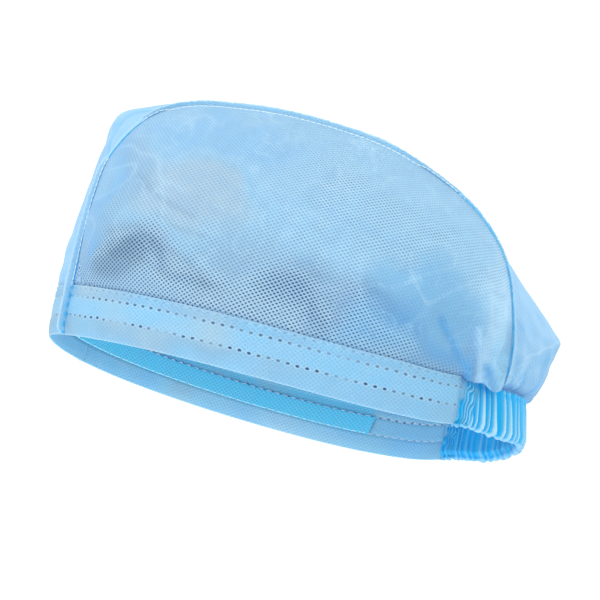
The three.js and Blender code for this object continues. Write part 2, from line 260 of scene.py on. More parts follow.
crown = {"belly": 0.16, "bellyDepths": (4.0, 45.0), "firstFin": 3.4, "lastFin": 1.2}


def pastForehead(angle):
    # how far round an angle is from the forehead, on either side
    turned = np.abs(angle)
    return np.where(turned > np.pi, 2 * np.pi - turned, turned)


def rimPoint(angle):
    # a superellipse seen from above, lower towards the sides and most behind the ears
    angle = np.asarray(angle, float)
    power = between(rim["frontRoundness"], rim["backRoundness"], (1 - np.cos(angle)) / 2)
    across = np.abs(np.sin(angle)) / rim["halfWidth"]
    along = np.abs(np.cos(angle)) / rim["halfLength"]
    radius = (across ** power + along ** power) ** (-1 / power)
    x = radius * np.sin(angle)
    turned = pastForehead(angle)
    aside = np.abs(x) / rim["halfWidth"]
    drop = rim["sag"] * aside ** rim["sagPower"] - rim["rearSag"] * aside * np.sin(2 * turned)
    lift = rim["lift"] * bell(turned - rim["liftAt"], rim["liftSpread"])
    return np.stack([x, -radius * np.cos(angle), lift - drop], -1)


def rimOutward(angle, step=0.002):
    # the level direction square to the rim
    way = rimPoint(np.asarray(angle) + step) - rimPoint(np.asarray(angle) - step)
    return unit(np.stack([way[..., 1], -way[..., 0], 0 * way[..., 0]], -1))


def casingShare(angle):
    # 0 along the hem and 1 along the casing, with an S-curve between them
    return smoothly(pastForehead(angle), *casing["turn"])


def bandHeight(angle):
    # height of the hem or the casing at an angle
    return between(hem["height"], casing["height"], casingShare(angle))


def hemPoint(angle, out, up):
    # out from the band's outer face and up from the rim; the hem flares and the casing tucks in
    angle, out, up = np.broadcast_arrays(np.asarray(angle, float), out, up)
    lean = between(hem["flare"], -casing["tuck"], casingShare(angle)) * up / bandHeight(angle)
    return rimPoint(angle) + rimOutward(angle) * (out + lean)[..., None] + up[..., None] * (0, 0, 1)


def hemTop(angle):
    # where the cloth above meets the top of the hem or the casing
    return hemPoint(angle, 0, bandHeight(angle) + topGap)


seamKnots = np.array([hemTop(hem["seam"]), *sections[:, :3], hemTop(casing["seam"])])
midKnots = np.array([hemTop(0), *[(0, y, z) for y, z in sections[:, 3:5]], hemTop(np.pi)])
hemKnots = np.array([hem["seam"], *np.radians(sections[:, 5]), casing["seam"]])
finKnots = np.array([crown["firstFin"], *sections[:, 6], crown["lastFin"]])


def knotValue(knots, t):
    # straight from each knot to the next, which are evenly spaced along t
    return np.interp(np.asarray(t) * (len(knots) - 1), np.arange(len(knots)), knots)


def knotCurve(knots, t):
    # a centripetal Catmull-Rom curve: each stretch is a cubic whose slopes at its two knots
    # weigh the neighbouring chords by the square roots of their lengths
    t = np.asarray(t, float)
    ends = np.vstack([2 * knots[0] - knots[1], knots, 2 * knots[-1] - knots[-2]])
    place = t * (len(knots) - 1)
    i = np.minimum(np.floor(place).astype(int), len(knots) - 2)
    w = (place - i)[..., None]
    p0, p1, p2, p3 = ends[i], ends[i + 1], ends[i + 2], ends[i + 3]
    d0, d1, d2 = (np.linalg.norm(b - a, axis=-1, keepdims=True) ** 0.5
                  for a, b in ((p0, p1), (p1, p2), (p2, p3)))
    slope1 = ((p1 - p0) / d0 - (p2 - p0) / (d0 + d1) + (p2 - p1) / d1) * d1
    slope2 = ((p2 - p1) / d1 - (p3 - p1) / (d1 + d2) + (p3 - p2) / d2) * d1
    square = -3 * p1 + 3 * p2 - 2 * slope1 - slope2
    return p1 + slope1 * w + square * w ** 2 + (2 * p1 - 2 * p2 + slope1 + slope2) * w ** 3


def seamAlong(t, step=0.0005):
    # the direction of the chord between two places just before and after t
    after, before = (knotCurve(seamKnots, np.clip(t + way, 0, 1)) for way in (step, -step))
    return unit(after - before)


def stripPoint(t, across):
    # the strip arches from seam to seam: nearly flat in its middle, steeper at its edges
    t, across = np.broadcast_arrays(np.asarray(t, float), across)
    seam, mid = knotCurve(seamKnots, t), knotCurve(midKnots, t)
    arch = np.cos(np.pi / 2 * across)
    return np.stack([seam[..., 0] * across, between(seam[..., 1], mid[..., 1], arch),
                     between(seam[..., 2], mid[..., 2], arch)], -1)


def panelPoint(t, down):
    # straight from the seam to the hem's top, with a half-wave bulge out between them
    t, down = np.broadcast_arrays(np.asarray(t, float), down)
    seam = knotCurve(seamKnots, t)
    drop = hemTop(knotValue(hemKnots, t)) - seam
    depth = np.linalg.norm(drop, axis=-1)
    bulge = crown["belly"] * smoothly(depth, *crown["bellyDepths"]) * depth * np.sin(np.pi * down)
    outward = unit(np.cross(drop, seamAlong(t)))
    return seam + drop * down[..., None] + outward * bulge[..., None]


# Ridges that the gathered casing sends up into the cloth, on both sides: degrees round the rim, how
# far out, from ridge to foot, and the height over the casing where each is highest
folds = [
    (139, 2.2, 3.4, 15),
    (145, 3.0, 3.6, 12),
    (151.7, 1.6, 3.4, 8),
    (157, 2.2, 3.4, 9),
    (164, 1.8, 3.4, 8),
    (171, 2.4, 3.6, 9),
    (178, 1.6, 3.4, 8),
]
gather = {"depth": 2.1, "fade": 6.0, "fall": 0.24, "start": np.radians((136.0, 141.0)), "seed": 7,
          "lean": 0.016, "wander": 0.33, "wanderPaces": (2.1, 0.83), "bendHeight": 5.5,
          "places": 201, "sizes": (0.8, 1.15), "leans": (-0.22, 0.22)}
# The cloth turns in over its last millimetres and slips between the plies of the hem or casing
tuck = {"hemHeight": 1.6, "hem": 0.75, "casingHeight": 3.5, "casing": 3.0,
        "turn": np.radians((137.5, 140.5)), "rows": 4, "rowStep": 1.1, "rowIn": 0.05}
# Beside the lower ends of the seams the slack cloth hangs over the casing in a pouch, and over
# the end of the hem in a lesser one: its degree round the rim, half spread, how far it smooths the
# pleats, its height, how far it drops and over what height, how far out and over what height
pouches = [
    (147.4, 3.9, 0.95, 3.0, 6.2, 1.6, 2.8, 4.5),
    (141.4, 2.5, 0.9, 2.0, 3.6, 1.5, 1.2, 3.0),
]
pouchFoot = 1.5  # a pouch stands out fully from this height over the casing
ribRandom = np.random.default_rng(gather["seed"])
ribSize = ribRandom.uniform(*gather["sizes"], casing["ribs"] + 3)
ribLean = ribRandom.uniform(*gather["leans"], casing["ribs"] + 3)


def fullAngle(points):
    # 0 to 360 degrees round from the forehead, over the wearer's left ear first
    return np.mod(np.arctan2(points[..., 0], -points[..., 1]), 2 * np.pi)


def ribPhase(angle, height):
    # whole numbers at the crests of the gathers, which are close beside the hem and wide at the
    # back, and wander a little with height
    steps = casing["ribs"] * casing["stepsPerRib"] - 1
    places = np.linspace(0, 1, gather["places"])
    angles = between(casing["start"], 2 * np.pi - casing["start"],
                     places - casing["ribSpread"] * np.sin(2 * np.pi * places) / (2 * np.pi))
    share = np.interp(angle, angles, places)
    phase = (share * steps - casing["firstCrest"]) / casing["stepsPerRib"]
    lean = np.interp(phase, np.arange(-1, casing["ribs"] + 2), ribLean)
    quick, slow = gather["wanderPaces"]
    wander = gather["wander"] * np.sin(quick * phase) * np.sin(slow * phase)
    bend = lean * np.sin(height / gather["bendHeight"] + 2 * lean)
    return phase + wander + gather["lean"] * height + bend


def ribCrest(phase, angle):
    # 1 on a crest and 0 in a valley, with some crests higher than others. Each gather leans to
    # the front: it falls away steeply behind its crest and rises slowly to the next one
    size = np.interp(phase, np.arange(-1, casing["ribs"] + 2), ribSize)
    after = np.mod(np.where(angle < np.pi, phase, -phase), 1)
    fall = gather["fall"]
    return size * np.where(after < fall, 1 - smoothly(after, 0, fall), smoothly(after, fall, 1))


def foldDepth(points):
    # each fold starts flat at the casing, stands out most at its reach, and dies away above
    angle = np.abs(np.arctan2(points[..., 0], -points[..., 1]))
    top = hemTop(angle)
    radius = np.hypot(top[..., 0], top[..., 1])
    height = np.maximum(points[..., 2] - top[..., 2], 0)
    total = 0
    for at, depth, width, reach in folds:
        aside = (angle - np.radians(at)) * radius
        rise = height / reach * np.exp(1 - height / reach)
        total = total + depth * rise * bell(aside, width)
    return total


def gathered(points, tucked=1.0):
    # the folds, under them the fine pleats that carry on from the casing's ribs, the pouches,
    # and the turn in between the plies
    angle = fullAngle(points)
    turned = pastForehead(angle)
    height = np.maximum(points[..., 2] - hemTop(angle)[..., 2], 0)
    crest = ribCrest(ribPhase(angle, height + casing["height"]), angle) - 0.5
    fine = gather["depth"] * crest * np.exp(-height / gather["fade"])
    fine = fine * smoothly(turned, *gather["start"])
    atCasing = smoothly(turned, *tuck["turn"])
    depth = between(tuck["hem"], tuck["casing"], atCasing)
    reach = between(tuck["hemHeight"], tuck["casingHeight"], atCasing)
    inward = tucked * depth * (1 - smoothly(height / reach, 0, 1))
    drop, out = 0, 0
    for at, spread, smooth, middle, hang, hangReach, bulge, bulgeReach in pouches:
        bag = bell(np.degrees(turned) - at, spread, 4)
        fine = fine * (1 - smooth * bag)
        drop = drop + bag * hang * bell(height - middle, hangReach)
        out = out + bag * bulge * bell(height - middle, bulgeReach)
    push = foldDepth(points) + fine - inward + out * np.minimum(height / pouchFoot, 1)
    moved = points + rimOutward(angle) * push[..., None] - drop[..., None] * (0, 0, 1)
    # the moved points, and how deep in a valley each one lies, which weighs the painted fold shade
    return moved, np.clip(-fine, 0, 1)


def slipped(edge, outward):
    # rows of points that carry an edge down between the plies
    k = np.arange(1, tuck["rows"] + 1)[:, None, None]
    return edge - k * tuck["rowStep"] * np.array((0, 0, 1)) - k * tuck["rowIn"] * outward


def clothPiece(name, node, points, uv, paint, material, thickness, inside=(0, 0, 30)):
    # a grid of points as a wall of smooth quads that face away from inside, in place of a node of
    # the frame. uv is in millimetres of cloth; paint holds numbers or colours for each point
    number = np.arange(points.size // 3).reshape(points.shape[:2])
    quads = np.stack([number[:-1, :-1], number[:-1, 1:], number[1:, 1:], number[1:, :-1]], -1)
    quads = quads.reshape(-1, 4)
    flat = points.reshape(-1, 3)
    corner = flat[quads]
    facing = np.cross(corner[:, 2] - corner[:, 0], corner[:, 3] - corner[:, 1])
    if np.sum(facing * (corner.mean(1) - inside)) < 0:
        quads = quads[:, ::-1]
    mesh = newMesh(name, flat, quads, material)
    layer = mesh.uv_layers.new(name="cloth")
    layer.data.foreach_set("uv", uv.reshape(-1, 2)[quads.ravel()].ravel())
    for label, value in paint.items():
        value = np.asarray(value, float)
        if value.ndim == 3:
            value = np.concatenate([value, np.ones((*value.shape[:2], 1))], -1)
            mesh.attributes.new(label, "FLOAT_COLOR", "POINT").data.foreach_set("color", value.ravel())
        else:
            mesh.attributes.new(label, "FLOAT", "POINT").data.foreach_set("value", value.ravel())
    piece = riding(name, mesh)
    wall = piece.modifiers.new("thickness", "SOLIDIFY")
    wall.thickness, wall.offset = thickness * mm, -1
    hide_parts(node)
    return piece


def tubes(name, centres, sides, ups, radius, material, corners=6):
    # many short tubes as one mesh: centres, sides and ups are (tubes, rings, 3), radius (rings,)
    around = np.linspace(0, 2 * np.pi, corners, endpoint=False)[:, None]
    ring = np.cos(around) * sides[:, :, None, :] + np.sin(around) * ups[:, :, None, :]
    points = centres[:, :, None, :] + ring * radius[None, :, None, None]
    number = np.arange(points.size // 3).reshape(points.shape[:3])
    after = np.roll(number, -1, axis=2)
    quads = np.stack([number[:, :-1], after[:, :-1], after[:, 1:], number[:, 1:]], -1).reshape(-1, 4)
    faces = [*quads.tolist(), *number[:, 0, ::-1].tolist(), *number[:, -1].tolist()]
    riding(name, newMesh(name, points.reshape(-1, 3), faces, material))


def flatCut(points, start, rounds=1500, softness=8):
    # lays a curved grid flat: springs along its rows, columns and diagonals keep their lengths
    # while the points settle in the plane
    pairs = [(np.s_[1:, :], np.s_[:-1, :]), (np.s_[:, 1:], np.s_[:, :-1]),
             (np.s_[1:, 1:], np.s_[:-1, :-1]), (np.s_[1:, :-1], np.s_[:-1, 1:])]
    lengths = [np.linalg.norm(points[a] - points[b], axis=-1) for a, b in pairs]
    flat = start.astype(float).copy()
    for _ in range(rounds):
        move = np.zeros_like(flat)
        for (a, b), length in zip(pairs, lengths):
            gap = flat[a] - flat[b]
            now = np.maximum(np.linalg.norm(gap, axis=-1), 1e-6)
            push = gap * ((length / now - 1) / softness)[..., None]
            move[a] += push
            move[b] -= push
        flat += move
    return flat


def spread(coarse, rowPlaces, columnPlaces, rows, columns):
    # values of a coarse grid, read between its points at finer rows and columns
    down = readAt(rows, rowPlaces, np.eye(len(rowPlaces)))
    across = readAt(columns, columnPlaces, np.eye(len(columnPlaces)))
    return np.einsum("ri,ijk,cj->rck", down, coarse, across)


def flatSize(flat):
    # width, length and area of a flat grid, in metres
    low, high = flat.reshape(-1, 2).min(0), flat.reshape(-1, 2).max(0)
    a, b = flat[1:, 1:] - flat[:-1, :-1], flat[1:, :-1] - flat[:-1, 1:]
    area = np.abs(a[..., 0] * b[..., 1] - a[..., 1] * b[..., 0]).sum() / 2
    return (high - low) * mm, area * mm * mm


# Spunbond polypropylene: hot filaments laid as a web and pressed together at small points. The
# eye gets a pale soft net round a lattice of dots that are thin and clear as film, so they show
# the shade behind them: that shade is painted, as the dots' dark colour. Light comes through the
# whole sheet, and the pure blue that folds gather is painted into their valleys as fold shade.
# Its filaments are far too fine to show, so fibre is as coarse as they need to be.
spunbond = {
    "pitch": 1.37, "waves": (44.0, -56.0), "dotEdge": (0.1, 1.2), "growFrom": (1.0, 1.6), "dotGrowth": 0.5,
    "netLift": (0.68, 0.4), "noiseFrom": (0.3, 0.7), "cloud": 7.0, "cloudTo": (0.75, 1.25), "fibre": 0.7,
    "fibreTo": (0.93, 1.07), "detail": 3.0, "bump": 0.6, "pressed": 0.05, "throughShare": 0.6,
    # the colour of the painted fold shade in the valleys
    "roughness": 0.62, "sheenRoughness": 0.5, "valleyShade": "#08BCFC",
}
# The needle leaves an oval hole at each stitch, and pushes up a pale rim round it. The hole's
# dark colour is painted shade, the dark seen through it. layers: first the rim, then the hole,
# each by how far from its centre it starts and is full, in half lengths, and by its colour and share
needle = {
    "pitch": 4.0, "halfLength": 0.85, "halfHeight": 0.58,
    "layers": (((2.1, 1.2), "#DDF2FF", 0.4), ((1.25, 0.7), "#34618F", 1.0)),
}


def dotLattice(add, uv, strength):
    # two plane waves across the cloth, in millimetres; both are high together at each dot, and
    # the dots spread where their strength is over 1
    pace = 2 * np.pi / spunbond["pitch"]
    waves = []
    for turn in np.radians(spunbond["waves"]):
        way = (pace * np.cos(turn), pace * np.sin(turn), 0)
        along = add("VectorMath", {0: uv, 1: way}, operation="DOT_PRODUCT")
        waves.append(add("Math", {0: along}, operation="COSINE"))
    both = add("Math", {0: waves[0], 1: waves[1]}, operation="ADD")
    low, high = spunbond["growFrom"]
    growth = add("MapRange", {"Value": strength, "From Min": low, "From Max": high})
    grown = add("Math", {0: growth, 1: spunbond["dotGrowth"]}, operation="MULTIPLY")
    both = add("Math", {0: both, 1: grown}, operation="ADD")
    low, high = spunbond["dotEdge"]
    dots = add("MapRange", {"Value": both, "From Min": low, "From Max": high},
               interpolation_type="SMOOTHSTEP")
    return dots, growth


def needleHoles(add, colour):
    # how far the place is from the nearest hole, in half lengths along its row and half heights
    # across it, gives first the pale rim and then the hole's painted shade
    off, run, share = (add("Attribute", output="Fac", attribute_name=label)
                       for label in ("rowOff", "rowRun", "holes"))
    turns = add("Math", {0: run, 1: needle["pitch"]}, operation="DIVIDE")
    place = add("Math", {0: turns}, operation="FRACT")
    half = needle["pitch"] / 2 / needle["halfLength"]
    along = add("MapRange", {"Value": place, "To Min": -half, "To Max": half})
    across = add("Math", {0: off, 1: needle["halfHeight"]}, operation="DIVIDE")
    apart = add("CombineXYZ", {"X": along, "Y": across})
    away = add("VectorMath", {0: apart}, operation="LENGTH")
    for (far, near), tint, part in needle["layers"]:
        weight = add("MapRange", {"Value": away, "From Min": far, "From Max": near, "To Max": part},
                     interpolation_type="SMOOTHSTEP")
        amount = add("Math", {0: weight, 1: share}, operation="MULTIPLY")
        colour = add("Mix", {"Factor": amount, "A": colour, "B": solid(tint)}, data_type="RGBA")
    return colour


def nonwoven(name, dotColour, netColour, through, passed, shine, stitched=False):
    # through and passed: the share of the light that passes and its colour; shine: how much the
    # filaments glint
    material, surface, add = newMaterial(name, spunbond["roughness"])
    uv = add("UVMap", uv_map="cloth")
    tone, strength, valleyShade = (add("Attribute", output=kind, attribute_name=label)
                              for label, kind in (("tone", "Color"), ("dots", "Fac"), ("valleyShade", "Fac")))
    dots, growth = dotLattice(add, uv, strength)
    cloud, fibre = (add("TexNoise", {"Vector": uv, "Scale": 1 / spunbond[label],
                                     "Detail": spunbond["detail"]}) for label in ("cloud", "fibre"))
    low, high = spunbond["noiseFrom"]
    thin, thick = spunbond["cloudTo"]
    patchy = add("MapRange", {"Value": cloud, "From Min": low, "From Max": high,
                              "To Min": thin, "To Max": thick})
    local = add("Math", {0: strength, 1: patchy}, operation="MULTIPLY", use_clamp=True)
    # where the dots are strong the net between them is lighter, but less so over the darkest shade
    light, lessLight = spunbond["netLift"]
    lightening = add("MapRange", {"Value": growth, "To Min": light, "To Max": lessLight})
    lift = add("Math", {0: local, 1: lightening}, operation="MULTIPLY")
    amount = add("Math", {0: local, 1: dots}, operation="MULTIPLY")
    # the dots lay on painted shade seen through them, and the valleys painted fold shade
    colour = tone
    for share, tint in ((lift, netColour), (amount, dotColour), (valleyShade, spunbond["valleyShade"])):
        colour = add("Mix", {"Factor": share, "A": colour, "B": solid(tint)}, data_type="RGBA")
    if stitched:
        colour = needleHoles(add, colour)
    dim, bright = spunbond["fibreTo"]
    grain = add("MapRange", {"Value": fibre, "From Min": low, "From Max": high,
                             "To Min": dim, "To Max": bright})
    colour = add("VectorMath", {0: colour, 1: grain}, operation="MULTIPLY")
    relief = add("Math", {0: fibre, 1: dots}, operation="SUBTRACT")
    bump = add("Bump", {"Height": relief, "Strength": spunbond["bump"],
                        "Distance": spunbond["pressed"] * mm})
    feed(surface, {"Base Color": colour, "Normal": bump, "Specular IOR Level": shine,
                   "Sheen Weight": shine / 2, "Sheen Roughness": spunbond["sheenRoughness"]})
    lit = add("Mix", {"Factor": spunbond["throughShare"], "A": colour, "B": solid(passed)},
              data_type="RGBA")
    glow = add("BsdfTranslucent", {"Color": lit, "Normal": bump})
    both = add("MixShader", {0: through, 1: surface.outputs[0], 2: glow})
    feed(material.node_tree.nodes["Material Output"], {"Surface": both})
    return material


def patterned(name, roughness, colours, texture, inputs, bump, **settings):
    # a material of two colours that follow a texture, which also raises its surface a little
    material, surface, add = newMaterial(name, roughness)
    place = add("TexCoord", output="Object")
    pattern = add(texture, {"Vector": place, **inputs}, output="Fac", **settings)
    low, high = (solid(colour) for colour in colours)
    strength, distance = bump
    raised = add("Bump", {"Height": pattern, "Strength": strength, "Distance": distance * mm})
    tint = add("Mix", {"Factor": pattern, "A": low, "B": high}, data_type="RGBA")
    feed(surface, {"Base Color": tint, "Normal": raised})
    return material


# Spun polyester sewing thread: matt, with a twist too fine to see that only mottles its colour
thread = {"roughness": 0.55, "twist": 1.2, "detail": 2.0, "bump": (0.5, 0.05)}
# Knitted elastic: white polyester over rubber cores, with a rib across it each millimetre; a wave
# texture turns 20 times for each turn of its scale
knit = {"roughness": 0.7, "colours": ("#DCE3E8", "#F7F9FA"), "rib": 1.0, "turns": 20, "wobble": 0.4,
        "bump": (0.6, 0.2)}


def sewingThread(name, *colours):
    fine = {"Scale": 1 / (thread["twist"] * mm), "Detail": thread["detail"]}
    return patterned(name, thread["roughness"], colours, "TexNoise", fine, thread["bump"])


def elasticKnit(name):
    ribs = {"Scale": 2 * np.pi / (knit["turns"] * knit["rib"] * mm), "Distortion": knit["wobble"]}
    return patterned(name, knit["roughness"], knit["colours"], "TexWave", ribs, knit["bump"],
                     bands_direction="Z")


# the first colour of each cloth is its dots' painted shade, seen through them; the second its net
shellCloth = nonwoven("sheerSpunbond", "#142B58", "#D2E9FA", 0.5, "#D2F4FF", 0.3)
hemClothDouble = nonwoven("doubledSpunbond", "#5FA5D4", "#D6F0FC", 0.32, "#D2F4FF", 0.14, stitched=True)
casingCloth = nonwoven("gatheredSpunbond", "#5FA5D4", "#D6F0FC", 0.28, "#6CCCFF", 0.1, stitched=True)
bandCloth = nonwoven("sweatbandSpunbond", "#36B0E8", "#A8E2FA", 0.25, "#A0E4FF", 0.1)
seamThread = sewingThread("whitePolyesterThread", "#D8EEFB", "#F6FBFE")
outerThread = sewingThread("bluePolyesterThread", "#9CD0F5", "#C3E4FA")
innerThread = sewingThread("palePolyesterThread", "#D9D8E8", "#EFE6EC")
knitElastic = elasticKnit("knittedElastic")
print("materials: spunbond cloth, thread and elastic")


# Tones of the side panels from the foot up, darker at the foot as painted shade of the hollow seen
# through the sheer cloth, and how they wander and are mottled
panelTone = {
    "tones": ("#86B2D6", "#ABD5EF", "#A9CBE4"), "levels": (20.0, 50.0, 100.0), "warp": 4.0,
    "warpSize": 30.0, "seed": 3, "mottle": 0.16, "mottleSize": 9.0, "mottleColour": "#86B4DC",
    "fineSize": 3.1, "fineSquash": 2.2, "valleyShare": 0.8,
}
# Patches of painted shade and light: dark ones are painted shade seen through the sheer cloth,
# pale ones painted light. Each has its centre (y, z), half lengths, the turn of the longer one in
# degrees, the power that sharpens the edge, the colour, and how much of it is laid on
panelShadingPatches = [
    (-45, 91, 34, 10, -4, 4, "#92C3E8", 0.7),
    (-50, 61, 26, 17, -8, 4, "#BCC6D2", 0.75),
    (-88, 60, 9, 30, 8, 1.5, "#8AB8DE", 0.7),
    (-78, 68, 12, 18, 20, 2, "#98B4D0", 0.65),
    (-74, 38, 12, 8, -8, 1.5, "#4A709C", 0.75),
    (-61, 35, 12, 5, -28, 1.5, "#5C82AC", 0.55),
    (-66, 28, 9, 4, -20, 1.5, "#B0CAE0", 0.55),
    (-48, 34, 15, 4, -22, 1.5, "#9A9FB8", 0.6),
    (-34, 27, 9, 4, 25, 1.5, "#6C8FB8", 0.6),
    (-30, 22, 34, 7, -5, 2, "#9CB4D0", 0.45),
    (8, 30, 16, 11, 0, 1.5, "#507FB4", 0.78),
    (30, 27, 17, 11, 0, 1.5, "#4C84BC", 0.82),
    (54, 42, 26, 18, -12, 3, "#84BCE0", 0.85),
    (44, 20, 27, 7, -4, 1.5, "#4C96CC", 0.82),
    (66, 22, 9, 4, -38, 1.5, "#58ADE4", 0.6),
    (81, 44, 11, 25, 0, 1.5, "#D0EBFD", 0.92),
    (-54, 23, 11, 4, 10, 1.5, "#B6D2E4", 0.7),
    (86, 22, 7, 12, 0, 2, "#BCE8FC", 0.9),
    (72, 25, 4, 9, 14, 1.5, "#74A8D4", 0.7),
    (-27, 38, 12, 11, 0, 1.5, "#86A6C6", 0.7),
    (-80, 31, 12, 8, 20, 1.5, "#5A80AA", 0.8),
    (-92, 29, 6, 10, 0, 1.5, "#48A8EA", 0.6),
]
# How strongly the dots show, from the foot up and then in patches as above. The dots are the
# cloth's own pattern; where they show strongly their dark colour lays on painted shade seen
# through them
panelDots = {"strengths": (1.0, 0.52, 0.3), "levels": (24.0, 46.0, 85.0)}
dotShadePatches = [
    (-64, 31, 26, 11, -6, 1.5, 1.08),
    (54, 38, 28, 22, -12, 3, 0.14),
    (34, 19, 24, 5, 0, 1.5, 1.0),
    (-91, 60, 5, 34, 0, 1.5, 0.1),
    (20, 72, 35, 14, -15, 1.5, 0.62),
    (-50, 60, 30, 16, -8, 2, 0.36),
    (89, 36, 14, 27, 0, 2, 0.16),
    (80, 20, 13, 11, 0, 2, 0.12),
    (-74, 38, 10, 7, -12, 1.5, 1.6),
    (-60, 33, 11, 4, -30, 1.5, 1.3),
    (-80, 30, 10, 7, 20, 1.5, 1.35),
    (-42, 29, 12, 3, 18, 1.5, 1.3),
    (-2, 28, 14, 5, 0, 1.5, 1.3),
]
# Creases of the side panels: half width, how far out (or in, below 0), the tint and how much of
# it, and the (y, z) points that each one passes through. The tints are painted light and shade:
# pale painted highlights along ridges, blue and dark painted shade along hollows
panelCreases = [
    (1.7, -1.2, "#58B2E8", 0.8, (59, 33), (64, 27), (69, 21), (76, 15)),
    (1.7, 1.1, "#CDE9FC", 0.8, (81, 42), (79, 32), (77.5, 23), (79, 15)),
    (1.2, 0.9, "#C6E6FC", 0.75, (73, 34), (74.5, 28), (76, 22), (78, 15)),
    (1.6, -0.8, "#68BCEE", 0.8, (79, 21), (83, 19.5)),
    (2.6, -0.4, "#8EC4E8", 0.45, (-5, 68), (20, 62), (45, 57)),
    (1.3, 0.1, "#8DBAD8", 0.35, (-45, 78), (-32, 75), (-27, 66), (-30, 54), (-36, 43)),
    (1.1, -0.2, "#88A4BE", 0.5, (-75, 66), (-70, 60), (-60, 55), (-48, 51)),
    (1.4, -0.3, "#3A5C88", 0.4, (-82, 40), (-70, 43), (-58, 37), (-46, 33), (-36, 25)),
    (1.2, -0.3, "#3A5C88", 0.4, (-84, 33), (-76, 30), (-66, 31), (-56, 27)),
    (1.1, -0.2, "#7C9AB8", 0.5, (-62, 49), (-52, 45), (-42, 44)),
    (1.3, 0.2, "#B2DCF4", 0.4, (22, 52), (23, 40), (27, 30), (35, 24), (50, 21)),
    (1.2, 0.1, "#88BFE2", 0.4, (-79, 89), (-76, 82), (-66, 76), (-48, 78)),
]
# a patch of painted shade, the deep blue that the cloth gathers in its hollows, over the rear of the hem
panelDeepShade = (33, 22, 22, 9, -4, 1.5, 0.17)
# slow waves over the whole panel, and the line of deeper blue along the front seam's foot
panelWaves = {"depth": 0.5, "size": 24.0, "seed": 8, "fromSeam": (1.0, 9.0), "fromHem": (0.5, 7.0)}
seamShade = {"colour": "#00BCFF", "at": 1.3, "width": 1.05, "levels": (78.0, 46.0), "behind": -60.0}
# round the front corner the line of painted shade is thinner; over the top a pale band lies
# beside the seam
cornerShadeLine = {"colour": "#3CB8FC", "reach": 0.55, "levels": (72.0, 80.0, 98.0, 101.0)}
topBand = {"colour": "#B4E0FA", "reach": (1.3, 1.7), "levels": (99.0, 102.0), "amount": 0.8}
# fine crumples painted all over the cloth, as thin lines of pale painted highlight and darker
# painted shade: size, seed, tint and how much of it
paintedCrumples = [(22.0, 41, "#D8EDFB", 0.4), (13.0, 43, "#DCEFFB", 0.3), (17.0, 45, "#7FA8CC", 0.25)]


def patchWeight(y, z, atY, atZ, length, breadth, degrees, edge):
    # 1 in the middle of an oval patch, fading to 0 about its edge
    turn = np.radians(degrees)
    dy, dz = y - atY, z - atZ
    along = (dy * np.cos(turn) + dz * np.sin(turn)) / length
    across = (dz * np.cos(turn) - dy * np.sin(turn)) / breadth
    return np.exp(-(along ** 2 + across ** 2) ** edge)


def lineWeight(u, v, width, line):
    # 1 on a line through points and fading to 0 beside it, by the nearest of its stretches
    place = np.stack([u, v], -1)
    points = np.array(line, float)
    gaps = []
    for a, b in zip(points[:-1], points[1:]):
        share = np.clip((place - a) @ (b - a) / ((b - a) @ (b - a)), 0, 1)
        gaps.append(np.linalg.norm(place - a - share[..., None] * (b - a), axis=-1))
    return bell(np.min(gaps, 0), width)


def tinted(tone, colour, weight):
    # lays a colour over a tone by a weight of 0 to 1
    return between(tone, linear(colour), np.asarray(weight)[..., None])


def blotted(tone, colour, amount, noise, lift=0.4, most=1.4):
    # lays a colour on in soft blots, where a noise is high
    return tinted(tone, colour, amount * np.clip(noise + lift, 0, most))


def creaseTints(tone, u, v, creases, where=1):
    # lays each crease's tint, a painted highlight on a ridge and painted shade in a hollow, along its line
    for width, _, colour, amount, *line in creases:
        tone = tinted(tone, colour, lineWeight(u, v, width, line) * amount * where)
    return tone


def creasePush(push, u, v, creases, where=1):
    # adds how far out each crease stands along its line
    for width, out, _, _, *line in creases:
        push = push + out * lineWeight(u, v, width, line) * where
    return push


def crumpleTints(tone, u, v, shift=0):
    # lays on the painted highlight and shade of each size of crumple
    for size, seed, colour, amount in paintedCrumples:
        tone = tinted(tone, colour, amount * crumpled(u, v, size, seed + shift))
    return tone


def threeLevels(z, levels, bottom, middle, top):
    # values at three heights, with S-curves between them
    lower, upper = smoothly(z, *levels[:2]), smoothly(z, *levels[1:])
    if np.ndim(bottom):
        lower, upper = lower[..., None], upper[..., None]
    return between(between(bottom, middle, lower), top, upper)


def relieved(points, base, push, besideSeam, fromHem):
    # pushes points out, by a share that rises from 0 beside the seams and over the hem
    angle = fullAngle(base)
    height = base[..., 2] - hemTop(angle)[..., 2]
    push = push * besideSeam * smoothly(height, *fromHem)
    return points + rimOutward(angle) * push[..., None]


def carriedOn(paint, rows, columns):
    # the paint of the edges, carried on over the cloth that slips between the plies
    return {label: np.pad(value, [rows, columns, (0, 0)][:value.ndim], "edge")
            for label, value in paint.items()}


def laidFlat(surface, start, rows, columns, net):
    # a surface's cloth coordinates at rows and columns, read from a coarse net that is laid flat
    places = [np.linspace(fine[0], fine[-1], count) for fine, count in zip((rows, columns), net)]
    coarse = surface(places[0][:, None], places[1])
    return spread(flatCut(coarse, start(coarse)), *places, rows, columns)


